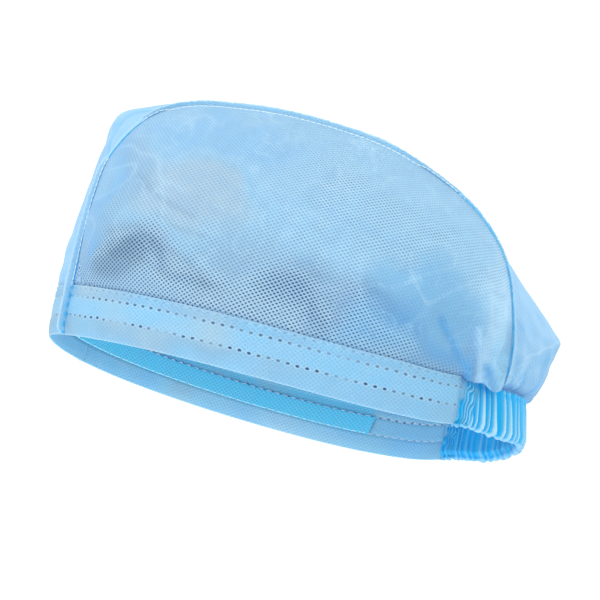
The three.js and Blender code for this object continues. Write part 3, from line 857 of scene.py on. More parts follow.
def panelPaint(base, valleyShade, beside):
    # painted shade and light in patches, creases, crumples, dots and along the front seam, over three
    # tones; the patches' edges wander with two slow noises, and a finer one mottles the whole
    y, z = base[..., 1], base[..., 2]
    seed, size = panelTone["seed"], panelTone["warpSize"]
    warpY = y + panelTone["warp"] * softNoise(y, z, size, seed)
    warpZ = z + panelTone["warp"] * softNoise(y, z, size, seed + 1)
    tone = threeLevels(warpZ, panelTone["levels"], *map(linear, panelTone["tones"]))
    for *patch, colour, amount in panelShadingPatches:
        tone = tinted(tone, colour, patchWeight(warpY, warpZ, *patch) * amount)
    tone = creaseTints(tone, y, z, panelCreases)
    fine = softNoise(y, panelTone["fineSquash"] * z, panelTone["fineSize"], seed + 4) / 2
    mottle = softNoise(y, z, panelTone["mottleSize"], seed + 2) + fine
    tone = blotted(tone, panelTone["mottleColour"], panelTone["mottle"], mottle)
    tone = crumpleTints(tone, y, z)
    dots = threeLevels(warpZ, panelDots["levels"], *panelDots["strengths"])
    for *patch, value in dotShadePatches:
        dots = between(dots, value, patchWeight(warpY, warpZ, *patch))
    ahead = y < seamShade["behind"]
    shade = bell(beside - seamShade["at"], seamShade["width"])
    shade = shade * smoothly(z, *seamShade["levels"]) * ahead
    line = plateau(z, *cornerShadeLine["levels"]) * ahead * bell(beside, cornerShadeLine["reach"], 4)
    band = (1 - smoothly(beside, *topBand["reach"])) * smoothly(z, *topBand["levels"])
    tone = tinted(tone, seamShade["colour"], shade)
    tone = tinted(tone, cornerShadeLine["colour"], line)
    tone = tinted(tone, topBand["colour"], band * topBand["amount"])
    dots = dots * (1 - shade) * (1 - line) * (1 - band)
    deep = panelDeepShade[-1] * patchWeight(warpY, warpZ, *panelDeepShade[:-1])
    return {"tone": tone, "dots": dots, "valleyShade": np.maximum(valleyShade * panelTone["valleyShare"], deep)}


def panelRelief(points, base, beside):
    # slow waves and the creases, which die away at the seam and at the hem
    y, z = base[..., 1], base[..., 2]
    push = panelWaves["depth"] * softNoise(y, z, panelWaves["size"], panelWaves["seed"])
    push = creasePush(push, y, z, panelCreases)
    return relieved(points, base, push, smoothly(beside, *panelWaves["fromSeam"]), panelWaves["fromHem"])


strip = {
    "stations": 260, "columns": 96, "thickness": 0.35, "flatNet": (61, 13), "waves": 0.4,
    "wavesSize": 20.0, "seed": 21, "fromSeam": (0, 0.12), "fromHem": (0.5, 5), "behind": 60,
    "tone": "#B2D8F4", "mottle": 0.22, "mottleSize": 13.0, "mottleColour": "#93C8F0", "dots": 0.16,
    "valleyShare": 0.9, "crumpleShift": 10,
}
# Creases at the back, on both sides, as above but through (x, z) points; their tints too are
# painted highlights and painted shade
backCreases = [
    (0.55, 0.1, "#E2F2FE", 0.65, (8, 46.5), (20, 41.5), (33, 34.5), (41, 27.5), (46.5, 21)),
    (0.6, 0.15, "#DEF1FD", 0.65, (33, 17), (33, 22), (29, 28)),
    (0.6, 0.2, "#8CC8F0", 0.7, (43, 46), (35, 37.5)),
    (4.0, -0.4, "#8ACAF0", 0.6, (18, 37), (28, 31), (38, 24)),
    (2.5, 0.0, "#6DB9EC", 0.6, (40, 25), (38, 18)),
    (3.0, 1.5, "#B4DAF6", 0.4, (0, 48), (14, 46)),
    (3.4, 0.3, "#CBE8FA", 0.7, (34, 30), (41, 22), (45, 17)),
]
# Painted shade where the strip turns away round the front corner: a band of deeper blue and a
# line. reach is by the share of the strip's length, the rest by the share of its half width
frontCornerShade = {
    "reach": (0.165, 0.19, 0.275, 0.3), "middle": 0.235, "nearest": 0.62, "bend": 95.0,
    "wander": 0.012, "wanderSize": 7.0, "band": (-0.16, -0.03, -0.03, 0.02), "colour": "#84C8F6",
    "amount": 0.75, "line": "#54B8F8", "lineWidth": 0.014, "lineAmount": 0.7,
}


def stripPaint(points, t, across, valleyShade):
    # soft blots on one tone, then the painted light and shade of the creases, of the front corner
    # and of the crumples
    x, y, z = points[..., 0], points[..., 1], points[..., 2]
    tone = np.broadcast_to(linear(strip["tone"]), points.shape)
    mottle = softNoise(x + y, z, strip["mottleSize"], strip["seed"] + 1)
    tone = blotted(tone, strip["mottleColour"], strip["mottle"], mottle)
    tone = creaseTints(tone, np.abs(x), z, backCreases, y > strip["behind"])
    # painted shade where the strip turns away round the front corner: a line, and a band of deeper
    # blue on its inner side
    along = plateau(t, *frontCornerShade["reach"])
    bend = frontCornerShade["nearest"] + frontCornerShade["bend"] * (t - frontCornerShade["middle"]) ** 2
    wander = softNoise(np.abs(x), y + z, frontCornerShade["wanderSize"], strip["seed"] + 2)
    inward = np.abs(across) - bend + frontCornerShade["wander"] * wander
    band = along * plateau(inward, *frontCornerShade["band"])
    line = along * bell(inward, frontCornerShade["lineWidth"])
    tone = tinted(tone, frontCornerShade["colour"], band * frontCornerShade["amount"])
    tone = tinted(tone, frontCornerShade["line"], frontCornerShade["lineAmount"] * line)
    tone = crumpleTints(tone, x + y, z, strip["crumpleShift"])
    return {"tone": tone, "dots": np.full(points.shape[:2], strip["dots"]),
            "valleyShade": valleyShade * strip["valleyShare"]}


def stripRelief(points, across):
    # slow waves and creases, which die away towards the seams, the hem and the casing
    x, y, z = points[..., 0], points[..., 1], points[..., 2]
    push = strip["waves"] * softNoise(x + y, z + y, strip["wavesSize"], strip["seed"])
    push = creasePush(push, np.abs(x), z, backCreases, y > strip["behind"])
    return relieved(points, points, push, smoothly(1 - np.abs(across), *strip["fromSeam"]),
                    strip["fromHem"])


def stripPiece():
    # the arch from seam to seam, gathered and creased, and rows added at both ends that slip
    # between the plies of the hem and the casing
    t = np.linspace(0, 1, strip["stations"])
    across = np.linspace(-1, 1, strip["columns"] + 1)
    base = stripPoint(t[:, None], across)
    points, valleyShade = gathered(base)
    paint = stripPaint(base, t[:, None], across, valleyShade)
    points = stripRelief(points, across)
    front, back = (slipped(edge, rimOutward(fullAngle(edge))) for edge in (points[0], points[-1]))
    points = np.concatenate([front[::-1], points, back])
    paint = carriedOn(paint, (tuck["rows"], tuck["rows"]), (0, 0))
    uv = laidFlat(stripPoint, lambda net: np.stack([net[..., 0], runLength(net)], -1), t, across,
                  strip["flatNet"])
    extra = np.arange(1, tuck["rows"] + 1)[:, None, None] * tuck["rowStep"] * np.array((0, 1))
    uv = np.concatenate([(uv[0] - extra)[::-1], uv, uv[-1] + extra])
    piece = clothPiece("crownStrip", "crown_strip", points, uv, paint, shellCloth,
                       strip["thickness"])


panel = {"columns": 300, "rows": 96, "thickness": 0.35, "ends": 0.003, "bottomPower": 1.25,
         "flatNet": (61, 15)}


def panelPiece(name, side, node):
    # from the seam down to the hem, with rows closer towards the foot, gathered and creased, and
    # rows added there that slip between the plies
    t = np.linspace(panel["ends"], 1 - panel["ends"], panel["columns"])
    down = 1 - (1 - np.linspace(0, 1, panel["rows"] + 1)) ** panel["bottomPower"]
    base = panelPoint(t[:, None], down) * (side, 1, 1)
    points, valleyShade = gathered(base)
    beside = np.linalg.norm(base - base[:, :1], axis=-1)
    paint = carriedOn(panelPaint(base, valleyShade, beside), (0, 0), (0, tuck["rows"]))
    points = panelRelief(points, base, beside)
    outward = rimOutward(fullAngle(points[:, -1]))
    points = np.concatenate([points, slipped(points[:, -1], outward).swapaxes(0, 1)], 1)
    uv = laidFlat(panelPoint, lambda net: net[..., 1:], t, down, panel["flatNet"])
    extra = np.arange(1, tuck["rows"] + 1)[None, :, None] * tuck["rowStep"]
    uv = np.concatenate([uv, uv[:, -1:] + extra * unit(uv[:, -1:] - uv[:, -2:-1])], 1)
    size, area = flatSize(uv)
    piece = clothPiece(name, node, points, uv, paint, shellCloth, panel["thickness"])
    print(name + ": flat", np.round(size, 3), "m, area", round(area, 4))
    return piece, size, area


stripPiece()
leftPanel = panelPiece("leftPanel", 1, "left_side_panel")
rightPanel = panelPiece("rightPanel", -1, "right_side_panel")


stitch = {
    "rings": 5, "dip": 0.24, "endSquare": 0.35,
    "seamRadius": 0.19, "seamPitch": 2.4, "seamLength": 2.2, "seamOut": (0.6, 0.0), "seamAside": (0.7, 0.1),
    "topDown": 1.4, "topLift": 0.05, "seamFirst": 1.0,
    "sunkFrom": (40.0, 62.0), "innerLift": (1.5, 0.7), "bandEnd": np.radians((115.0, 116.0)),
    "hemRadius": 0.12, "innerRadius": 0.15, "hemPitch": 4.0, "hemLength": 2.2, "hemShift": 0.37,
}
hemLook = {
    "plies": 2.4, "thickness": 0.35, "foldRadius": 0.5, "foldHeight": 1.0, "narrowing": 2, "step": 0.9,
    "profileSteps": 40, "foldSteps": 10,
    "rows": (1.1, 4.5, 12.5), "pinch": 0.35, "pinchWidth": 0.8,
    "upper": "#7EBAE7", "middle": "#88C8F1", "lower": "#84B4D8", "rowBlend": 0.6, "dots": 0.36,
    # the inner ply's tones by how far it is behind the seam: painted light and shade of the hollow
    "insideAt": (0.0, 55.0, 105.0, 150.0, 190.0),
    "inside": ("#7ECCF0", "#A0E0FA", "#B8E6FC", "#98D8F4", "#68B8E4"),
    "over": "#6CE0FF", "overShare": 0.95, "overTo": (145.5, 146.5), "overBlend": 0.3,
    "blue": "#80CEFA", "grey": "#B6CAD9", "greyFade": (70.0, 130.0), "greyLoss": 0.9,
    "rear": "#7CCCFC", "rearShare": 0.5, "mottle": 0.4, "mottleSize": 26.0, "seed": 31,
    "edge": "#D6EFFD", "edgeWidth": 0.4, "edgeShare": 0.4, "edgeLoss": 0.6,
    "outerHoles": (0.3, 0.85, 1.0), "innerHoles": (0.0, 0.8, 0.25), "holesFade": (150.0, 205.0),
    "holesLoss": 0.65, "ebb": (0.8, 0.4, 22.0), "wobble": (0.18, 15.0), "rowsApart": 40.0,
}
# The casing's colours: pale crests are painted highlights, saturated valleys painted fold shade, and the
# rear of its inside is darkened by painted shadow
casingLook = {
    "outer": (-2.0, -1.2, -2.0), "inner": (-3.4, -5.2, -4.4), "pressed": (0.8, 3.4), "thickness": 0.3,
    "step": 0.28, "start": np.radians(138.4), "blend": np.radians((138.4, 139.4)), "scallop": 0.9,
    "rowAt": 17.3, "rowPinch": 0.2, "rough": 0.3, "roughSize": 1.6, "seed": 5, "innerPhase": 0.35,
    "topDepth": 0.7, "lean": 0.22, "gatherFrom": (-0.3, 1.4), "ragged": (1.1, 5.0, 60),
    "crumplePitch": 1.7, "crumple": (0.5, 0.32), "crumpleTo": (7.0, 9.5),
    "crooked": (0.4, 3.0, 30), "crookedSquash": (0.5, 0.4),
    "smooth": "#5CBCF2", "smoothShare": 0.35, "tone": "#44C8FC", "crest": "#C4EEFF",
    "crestFrom": (0.5, 0.95), "inside": "#00B2F0", "insideCrest": "#7CCAF2", "insideCrestShare": 0.7,
    "insideRearShadow": "#0086CA", "insideRearShare": 0.75, "rearFrom": np.radians((156.0, 172.0)),
    "shade": "#B9CAD8", "shadeSize": 9.0, "shadeFrom": (12, 16), "rim": "#B8E2FC", "rimShare": 0.6,
    "dots": 0.1, "valleyFrom": (0.0, 0.6), "valleyLoss": 0.7, "valleyInside": 0.55,
    "knot": (2.6, 1.6), "knotTop": (14.0, 9.0),
}


def rimRun(start, end, step, samples=4000):
    # angles spaced evenly along the rim, and the length walked to each
    fine = np.linspace(start, end, samples)
    run = runLength(rimPoint(fine))
    walked = np.linspace(0, run[-1], max(int(run[-1] / step), 2) + 1)
    return np.interp(walked, run, fine), walked


def bandProfile(outer, inner):
    # outer ply from its top down, round the bottom fold, and the inner ply up again, as
    # distances out and up; outer and inner give how far out each ply lies at a height
    low = hemLook["foldHeight"]
    up = np.linspace(hem["height"], low, hemLook["profileSteps"])
    middle, radius = (outer(low) + inner(low)) / 2, (outer(low) - inner(low)) / 2
    fold = np.linspace(0, np.pi, hemLook["foldSteps"] + 1)[1:-1]
    bottom = np.stack([middle + radius * np.cos(fold), low - low * np.sin(fold)], -1)
    return np.concatenate([np.stack([outer(up), up], -1), bottom, np.stack([inner(up), up], -1)[::-1]])


def pinched(up):
    # the plies draw together along each row of stitches
    return hemLook["pinch"] * sum(bell(hem["height"] - up - row, hemLook["pinchWidth"])
                                  for row in hemLook["rows"])


def narrowed(up):
    # the plies close in towards the bottom fold
    close = np.exp(-(up - hemLook["foldHeight"]) / hemLook["narrowing"])
    return (hemLook["plies"] / 2 - hemLook["foldRadius"]) * close


def hemOuter(up):
    # how far out the outer ply lies at a height
    return -narrowed(up) - pinched(up)


def hemInner(up):
    # how far out the inner ply lies at a height
    return narrowed(up) + pinched(up) - hemLook["plies"]


hemSection = bandProfile(hemOuter, hemInner)
sectionWalk = runLength(hemSection)
sectionTurn = hemLook["profileSteps"] + hemLook["foldSteps"] // 2 - 1  # the section's lowest point
onInside = smoothly(np.arange(len(hemSection)), sectionTurn - 1, sectionTurn + 1)


def hemPaint(walked, behind):
    # three tones between the rows of stitches, and some for the inner ply by how far it is behind
    # the seam, which are painted light and shade of the hollow, with a brighter blue over the
    # sweatband, mottled along its run; thin pale lines at the edges; and how far each place is from
    # the nearest row of stitches
    look, up, run = hemLook, hemSection[:, 1], walked[:, None]
    rows = np.array(look["rows"])
    rowUps = hem["height"] - rows
    tone = linear(look["lower"])
    for label, row in (("middle", 2), ("upper", 1)):
        over = smoothly(up, rowUps[row] - look["rowBlend"], rowUps[row] + look["rowBlend"])
        tone = tinted(tone, look[label], over)
    inner = readAt(behind, look["insideAt"], [linear(colour) for colour in look["inside"]])
    tone = between(tone, inner[:, None, :], onInside[:, None])
    over = smoothly(up, rowUps[1] - look["overBlend"], rowUps[1] + look["overBlend"])
    over = over * onInside * (1 - smoothly(behind, *look["overTo"]))[:, None]
    tone = tinted(tone, look["over"], look["overShare"] * over)
    mottle = look["mottle"] * softNoise(run, sectionWalk, look["mottleSize"], look["seed"])
    tone = tinted(tone, look["blue"], np.clip(mottle, 0, 1))
    rearward = smoothly(run, *look["greyFade"])
    tone = tinted(tone, look["grey"], np.clip(-mottle, 0, 1) * (1 - look["greyLoss"] * rearward))
    tone = tinted(tone, look["rear"], look["rearShare"] * rearward * (1 - onInside))
    edge = bell(hem["height"] - up, look["edgeWidth"]) + bell(up, look["edgeWidth"])
    edge = look["edgeShare"] * np.clip(edge, 0, 1) * (1 - look["edgeLoss"] * onInside)
    tone = tinted(tone, look["edge"], edge)
    nearest = np.argmin(np.abs(up[:, None] - rowUps), 1)
    within = onInside > 0.5
    place = np.where(within, sectionWalk[-1] - rows[nearest], rows[nearest])
    strength = np.where(within, *(np.array(look[label])[nearest] for label in ("innerHoles", "outerHoles")))
    (level, swing, ebbSize), (wobble, wobbleSize) = look["ebb"], look["wobble"]
    ebb = level + swing * softNoise(run, look["rowsApart"] * nearest, ebbSize, look["seed"] + 1)
    ebb = ebb * (1 - look["holesLoss"] * smoothly(run, *look["holesFade"]))
    wobble = wobble * softNoise(run, look["rowsApart"] * nearest, wobbleSize, look["seed"] + 2)
    return {
        "tone": tone, "dots": np.full(mottle.shape, look["dots"]), "valleyShade": np.zeros(mottle.shape),
        "rowOff": up - rowUps[nearest] + wobble,
        "rowRun": run + stitch["hemShift"] * place + stitch["hemPitch"] / 2,
        "holes": np.clip(ebb, 0, 1) * strength,
    }


def hemPiece(name, start, end, node):
    # the folded section carried along the rim from one angle to another
    angles, walked = rimRun(start, end, hemLook["step"])
    up = hemSection[:, 1] * (bandHeight(angles) / hem["height"])[:, None]
    points = hemPoint(angles[:, None], hemSection[:, 0], up)
    paint = hemPaint(walked, walked * (node != "front_hem"))
    piece = clothPiece(name, node, points, crossed(walked, sectionWalk), paint, hemClothDouble,
                       hemLook["thickness"])
    print(name + ": cut", round(sectionWalk[-1], 1), "by", round(walked[-1], 1), "mm")
    return walked[-1]


hemPiece("frontHem", -hem["seam"], hem["seam"], "front_hem")
sideHemLength = hemPiece("leftHem", hem["seam"], casingLook["start"], "left_hem")
hemPiece("rightHem", -hem["seam"], -casingLook["start"], "right_hem")


def casingPly(ply, up):
    # how far out a ply lies at a height: at its foot it is pressed to the other
    foot, low, top = casingLook[ply]
    return between(foot, between(low, top, up / casing["height"]), smoothly(up, *casingLook["pressed"]))


def casingPiece():
    # the folded section carried round the back of the rim, with ribs pushed out of both plies
    look = casingLook
    angles, walked = rimRun(look["start"], 2 * np.pi - look["start"], look["step"])
    section = bandProfile(partial(casingPly, "outer"), partial(casingPly, "inner"))
    blend = smoothly(pastForehead(angles), *look["blend"])[:, None]
    out = between(hemSection[:, 0], section[:, 0], blend)
    up = section[:, 1] * (bandHeight(angles) / hem["height"])[:, None]
    # the plies' ribs: outward on the outer ply, inward on the inner one, downward at the fold
    place = (np.arange(len(section)) - hemLook["profileSteps"] + 1) / hemLook["foldSteps"]
    place = np.clip(place, 0, 1)
    way = np.cos(np.pi * place)
    low = 1 - way ** 2
    crest = ribCrest(ribPhase(angles[:, None], up) + look["innerPhase"] * place, angles[:, None])
    # beside the hem the casing is first smooth, and then puckered in fine crooked lines that lean
    fromEnd = np.minimum(walked, walked[-1] - walked)[:, None]
    leaned = fromEnd - look["lean"] * up
    amount, size, apart = look["ragged"]
    ragged = leaned + amount * softNoise(up + apart * place, 0, size, look["seed"] + 2)
    puckered = smoothly(ragged, *look["gatherFrom"])
    (amount, size, apart), (slow, fast) = look["crooked"], look["crookedSquash"]
    crooked = softNoise(slow * fromEnd, fast * up + apart * place, size, look["seed"] + 3)
    crooked = leaned / look["crumplePitch"] + amount * crooked
    level, swing = look["crumple"]
    crumple = level + swing * np.sin(2 * np.pi * crooked)
    height = crest * between(1, look["topDepth"], up / casing["height"])
    height = between(crumple, height, smoothly(leaned, *look["crumpleTo"]))
    height = height * (1 - look["rowPinch"] * bell(up - look["rowAt"], 1))
    points = hemPoint(angles[:, None], out + way * (casing["depth"] * height * puckered), up)
    rough = look["rough"] * softNoise(walked, 0, look["roughSize"], look["seed"])
    points[..., 2] -= (look["scallop"] * crest + rough[:, None]) * low * puckered
    stretched = runLength(points[:, len(section) // 2 - hemLook["foldSteps"]])
    # painted light and shade: saturated fold shade in the valleys, pale highlights on the crests and
    # a painted shadow at the rear inside, over the hem's own paint where the casing is smooth
    behind = sideHemLength + fromEnd[:, 0]
    paint = hemPaint(behind, behind)
    ridge = smoothly(height, *look["crestFrom"])
    rear = smoothly(pastForehead(angles), *look["rearFrom"])[:, None]
    grey = np.clip(softNoise(stretched[:, None], up, look["shadeSize"], look["seed"] + 1), 0, 1)
    tone = tinted(linear(look["tone"]), look["inside"], np.broadcast_to(place, height.shape))
    tone = tinted(tone, look["crest"], ridge * (1 - place))
    tone = tinted(tone, look["insideCrest"], ridge * place * look["insideCrestShare"])
    tone = tinted(tone, look["insideRearShadow"], look["insideRearShare"] * rear * place)
    tone = tinted(tone, look["shade"], grey * place * smoothly(up, *look["shadeFrom"]))
    tone = tinted(tone, look["rim"], low * look["rimShare"])
    # painted fold shade gathers near each end of the casing too, from a height up
    knotAt, knotWidth = look["knot"]
    knot = bell(fromEnd - knotAt, knotWidth) * smoothly(up, *look["knotTop"])
    valleyShade = np.maximum(1 - smoothly(height, *look["valleyFrom"]), knot)
    valleyShade = valleyShade * (1 - look["valleyLoss"] * low) * between(1, look["valleyInside"], place)
    smooth = tinted(paint["tone"], look["smooth"], look["smoothShare"])
    paint["tone"] = between(smooth, tone, puckered[..., None])
    paint["dots"] = between(paint["dots"], look["dots"], puckered)
    paint["holes"] = paint["holes"] * (1 - puckered)
    paint["valleyShade"] = valleyShade * puckered
    piece = clothPiece("elasticCasing", "elastic_casing", points, crossed(stretched, sectionWalk), paint,
                       casingCloth, look["thickness"])
    print("casing: cut", round(sectionWalk[-1], 1), "by", round(stretched[-1], 1), "mm, drawn to",
          round(walked[-1], 1))


casingPiece()


def plainPaint(tone, dots, shape):
    # one colour, or one for each point, and dots of one strength
    tone = linear(tone) if isinstance(tone, str) else tone
    return {"tone": np.broadcast_to(tone, shape), "dots": np.full(shape[:2], dots),
            "valleyShade": np.zeros(shape[:2])}


sweatband = {"near": 2.75, "far": 3.3, "bottom": 8.3, "width": 8.0, "turnedUnder": 1.3, "swell": 0.1,
             "end": np.radians(115.5), "slant": 0.009, "thickness": 0.22, "step": 1.2, "edgeSteps": 7,
             "faceSteps": 12, "tone": "#58E0FF", "dots": 0.55}


def sweatbandProfile():
    # its turned-under edges lie against the hem and its face stands off it, swelling a little
    near, far, bottom = sweatband["near"], sweatband["far"], sweatband["bottom"]
    top = bottom + sweatband["width"]
    middle, radius = -(near + far) / 2, (far - near) / 2
    bend = np.linspace(np.pi / 2, -np.pi / 2, sweatband["edgeSteps"])
    upper = np.stack([middle + radius * np.sin(bend), top - radius + radius * np.cos(bend)], -1)
    face = np.linspace(top - radius, bottom + radius, sweatband["faceSteps"])[1:-1]
    swell = sweatband["swell"] * np.sin(np.pi * (face - bottom) / sweatband["width"])
    half = np.concatenate([[(-near, top - sweatband["turnedUnder"])], upper])
    mirrored = half[::-1] * (1, -1) + (0, top + bottom)
    return np.concatenate([half, np.stack([-far - swell, face], -1), mirrored])


def sweatbandPiece():
    # its section carried along the inner face of the hem
    angles, walked = rimRun(-sweatband["end"], sweatband["end"], sweatband["step"])
    out, up = sweatbandProfile().T
    # its ends are cut at a slant
    slanted = angles[:, None] * (1 + sweatband["slant"] * (up - sweatband["bottom"]) / sweatband["width"])
    points = hemPoint(slanted, out, up)
    paint = plainPaint(sweatband["tone"], sweatband["dots"], points.shape)
    piece = clothPiece("sweatbandStrip", "sweatband", points, crossed(walked, up), paint, bandCloth,
                       sweatband["thickness"])


sweatbandPiece()


# The fin's colours; line is the painted shade of pure blue in the crevice at its foot
fin = {
    "start": 0.35, "end": 0.985, "stations": 420, "columns": 37, "thickness": 0.3, "gap": 0.3,
    "tipGap": 0.5, "foot": 0.6, "footRise": 0.12, "footDrop": 1.15, "lainDrop": 0.4, "lainLoss": 0.8,
    "risePower": 0.85, "apartPower": 0.5, "fray": 0.1, "seed": 11, "sway": 0.35,
    "waves": ((9.0, 0.5), (4.1, 0.3), (17.0, 0.6)), "shift": 6.28, "hemStep": 0.8, "endShare": 0.4,
    "endTaper": (0.3, 2.6), "smoothing": 9, "margin": 0.004, "probe": 0.01,
    "lie": np.radians(78.0), "lain": (0.165, 0.182, 0.245, 0.27),
    "tone": "#BCE6FC", "tip": "#D6EEFC", "tipFrom": (0.6, 1.0), "lainTone": "#CFEAFE", "dots": 0.08,
    "line": "#14CCFF", "lineHeight": (0.2, 0.6), "hemLine": 0.34, "dash": (0.1, 0.2), "between": 0.35,
    "beat": (0.8, 0.2), "beatSize": 6.0,
}


def seamFrame(t):
    # out stands square to the seam between the strip and the panel, aside points to the panel
    t, probe = np.clip(t, fin["margin"], 1 - fin["margin"]), fin["probe"]
    along = seamAlong(t)
    edge = stripPoint(t, 1.0)
    stripFace = unit(np.cross(edge - stripPoint(t, 1 - probe), along))
    panelFace = unit(np.cross(panelPoint(t, probe) - edge, along))
    out = unit(stripFace + panelFace)
    return out, unit(np.cross(along, out))


def downPanel(t):
    # from the seam down the panel's face, and out of that face
    t = np.clip(t, fin["margin"], 1 - fin["margin"])
    down = unit(panelPoint(t, fin["probe"]) - panelPoint(t, 0))
    return down, unit(np.cross(down, seamAlong(t)))


def seamPath(side):
    # up the hem and then along the seam over the crown: feet, out, aside and the fin's width
    up = np.arange(fin["start"], hem["height"], fin["hemStep"])
    onHem = hemPoint(hem["seam"], 0, up)
    hemOut = np.broadcast_to(rimOutward(hem["seam"]), onHem.shape)
    hemAside = np.stack([-hemOut[:, 1], hemOut[:, 0], 0 * hemOut[:, 0]], -1)
    t = np.linspace(0, fin["end"], fin["stations"])
    turn = np.array((side, 1, 1))
    feet = np.concatenate([onHem * turn, gathered(knotCurve(seamKnots, t) * turn, 0.0)[0]])
    tapered = crown["firstFin"] * between(fin["endShare"], 1, smoothly(up, *fin["endTaper"]))
    width = np.concatenate([tapered, knotValue(finKnots, t)])
    count = fin["smoothing"]
    ways = []
    for pair in zip((hemOut, hemAside), seamFrame(t)):
        padded = np.pad(np.concatenate(pair), ((count // 2, count // 2), (0, 0)), "edge")
        way = [np.convolve(column, np.ones(count) / count, "valid") for column in padded.T]
        ways.append(unit(np.stack(way, -1)) * turn)
    return feet, *ways, width


def lainShare(feet):
    # round the front corner the allowance lies down on the strip
    t = np.arange(len(feet)) - (len(feet) - fin["stations"])
    t = np.clip(t / (fin["stations"] - 1), 0, 1) * fin["end"]
    return plateau(t, *fin["lain"])


def finFootShade(walked, feet, lain, rise):
    # a painted shade of pure blue at the fin's foot, in the crevice where the thread draws the edges
    # together
    level, swing = fin["beat"]
    beat = level + swing * softNoise(walked, 0, fin["beatSize"], fin["seed"] + 5)
    beat = beat * (1 - smoothly(feet[:, 2], *topBand["levels"]) * (1 - lain))
    onHem = walked < hem["height"] - 1
    dashes = smoothly(np.abs(np.mod(walked / stitch["hemPitch"], 1) - 0.5), *fin["dash"])
    beat = np.where(onHem, fin["between"] + (1 - fin["between"]) * dashes, beat)
    high = between(*fin["lineHeight"], smoothly(feet[:, 1], *stitch["sunkFrom"]))
    high = np.where(onHem, fin["hemLine"], high)
    return np.clip(beat[:, None] * bell(rise, high[:, None], 4), 0, 1)


def finPiece(name, side, node):
    # a narrow loop carried along the seam, which sways and is a little frayed
    feet, out, aside, width = seamPath(side)
    walked = runLength(feet)
    lain = lainShare(feet)[:, None]
    lie = fin["lie"] * lain
    out, aside = np.cos(lie) * out - np.sin(lie) * aside, np.cos(lie) * aside + np.sin(lie) * out
    rng = np.random.default_rng(fin["seed"] + (side > 0))
    waves = sum(np.sin(walked / length + rng.uniform(0, fin["shift"])) * size
                for length, size in fin["waves"])
    fray = rng.normal(0, fin["fray"], len(walked))
    # across the fin: up its panel side, round the tip and down its strip side; its foot spreads
    # on to the cloth beside it
    turn = np.linspace(0, np.pi, fin["columns"])
    rise = np.sin(turn) ** fin["risePower"]
    apart = np.sign(np.cos(turn)) * np.abs(np.cos(turn)) ** fin["apartPower"]
    foot = np.exp(-rise / fin["footRise"])
    height = (width + fray)[:, None] * rise - between(fin["footDrop"], fin["lainDrop"], lain) * foot
    swing = fin["sway"] * waves[:, None] * rise ** 2
    flare = between(fin["gap"], fin["tipGap"], rise) + fin["foot"] * foot * (1 - fin["lainLoss"] * lain)
    sideways = apart * flare + swing
    points = feet[:, None] + out[:, None] * height[..., None] + aside[:, None] * sideways[..., None]
    across = runLength(points[len(points) // 2])
    tone = tinted(linear(fin["tone"]), fin["tip"], smoothly(rise, *fin["tipFrom"]))
    tone = tinted(tone, fin["lainTone"], lain * np.ones(len(rise)))
    tone = tinted(tone, fin["line"], finFootShade(walked, feet, lain[:, 0], rise))
    clothPiece(name, node, points, crossed(walked, across), plainPaint(tone, fin["dots"], points.shape),
               shellCloth, fin["thickness"], inside=feet.mean(0))
    print(name + ": a folded edge", round(across[-1], 1), "by", round(walked[-1], 1), "mm")


finPiece("leftSeam", 1, "left_seam")
finPiece("rightSeam", -1, "right_seam")


def stitchRow(name, path, lift, starts, length, radius, material):
    # each stitch follows the path for its length and dips into the cloth at both ends
    walked = runLength(path)
    share = np.linspace(0, 1, stitch["rings"])
    places = starts[:, None] + share * length
    at, out = readAt(places, walked, path), unit(readAt(places, walked, lift))
    along = unit(np.gradient(at, axis=1))
    arc = np.sin(np.pi * share)
    radii = radius * np.sqrt(stitch["endSquare"] + (1 - stitch["endSquare"]) * arc)
    centres = at + out * (stitch["dip"] * (arc - 0.5))[:, None]
    tubes(name, centres, unit(np.cross(along, out)), out, radii, material)


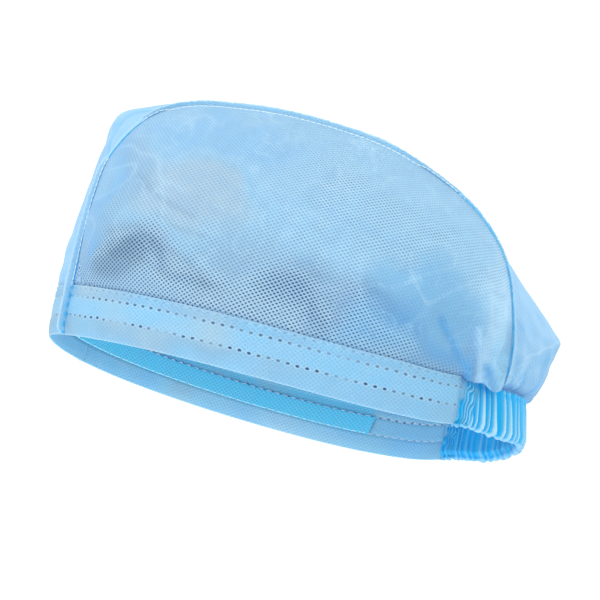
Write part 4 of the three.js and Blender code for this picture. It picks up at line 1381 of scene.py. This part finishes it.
def seamStitches(name, side):
    # a row on each side of the fin; over the top one row lies down the panel instead
    feet, out, aside, _ = seamPath(side)
    onHem = np.arange(len(feet)) < len(feet) - fin["stations"]
    down, face = downPanel(np.linspace(0, fin["end"], fin["stations"]))
    beside = (down * stitch["topDown"] + face * stitch["topLift"]) * (side, 1, 1)
    beside = np.concatenate([np.zeros((onHem.sum(), 3)), beside])
    lain = lainShare(feet)
    onTop = smoothly(feet[:, 2], *topBand["levels"]) * (1 - lain)
    sunk = np.maximum(np.maximum(smoothly(feet[:, 1], *stitch["sunkFrom"]), lain), onHem)[:, None]
    for label, way in (("PanelSide", 1), ("StripSide", -1)):
        path = feet + out * between(*stitch["seamOut"], sunk)
        path = path + aside * way * between(*stitch["seamAside"], sunk)
        if way > 0:
            path = between(path, feet + beside, onTop[:, None] * (1 - sunk))
        run = runLength(path)[-1]
        starts = np.arange(stitch["seamFirst"], run - stitch["seamPitch"], stitch["seamPitch"])
        stitchRow(name + label, path, aside * way, starts, stitch["seamLength"], stitch["seamRadius"],
                  seamThread)


def hemStitches(name, start, end):
    # rows round the hem on its outer ply, and all but the top one on its inner ply
    angles, walked = rimRun(start, end, hemLook["step"])
    scale = bandHeight(angles) / hem["height"]
    pitch, length = stitch["hemPitch"], stitch["hemLength"]
    lift = between(*stitch["innerLift"], smoothly(pastForehead(angles), *stitch["bandEnd"]))[:, None]
    for number, row in enumerate(hemLook["rows"]):
        up = hem["height"] - row
        # for each ply: how far out, which way, lift, place in the section, radius and thread
        plies = {"Outside": (hemOuter(up), 1, 0, row, stitch["hemRadius"], outerThread)}
        if number > 0:
            place = sectionWalk[-1] - row
            plies["Inside"] = (hemInner(up), -1, lift, place, stitch["innerRadius"], innerThread)
        for label, (ply, way, raised, place, radius, sewn) in plies.items():
            out = rimOutward(angles) * way
            path = hemPoint(angles, ply, up * scale) + out * raised
            first = np.mod(-stitch["hemShift"] * place, pitch) + (pitch - length) / 2
            starts = np.arange(first, walked[-1] - pitch, pitch) * runLength(path)[-1] / walked[-1]
            stitchRow(name + label + str(number + 1), path, out, starts, length, radius, sewn)


seamStitches("leftSeam", 1)
seamStitches("rightSeam", -1)
hemStitches("frontHem", -hem["seam"], hem["seam"])
hemStitches("leftHem", hem["seam"], casing["start"])
hemStitches("rightHem", -hem["seam"], -casing["start"])
print("stitches: seams and hem rows")

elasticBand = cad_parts["elastic_band"]
elasticBand.data.materials.clear()
elasticBand.data.materials.append(knitElastic)
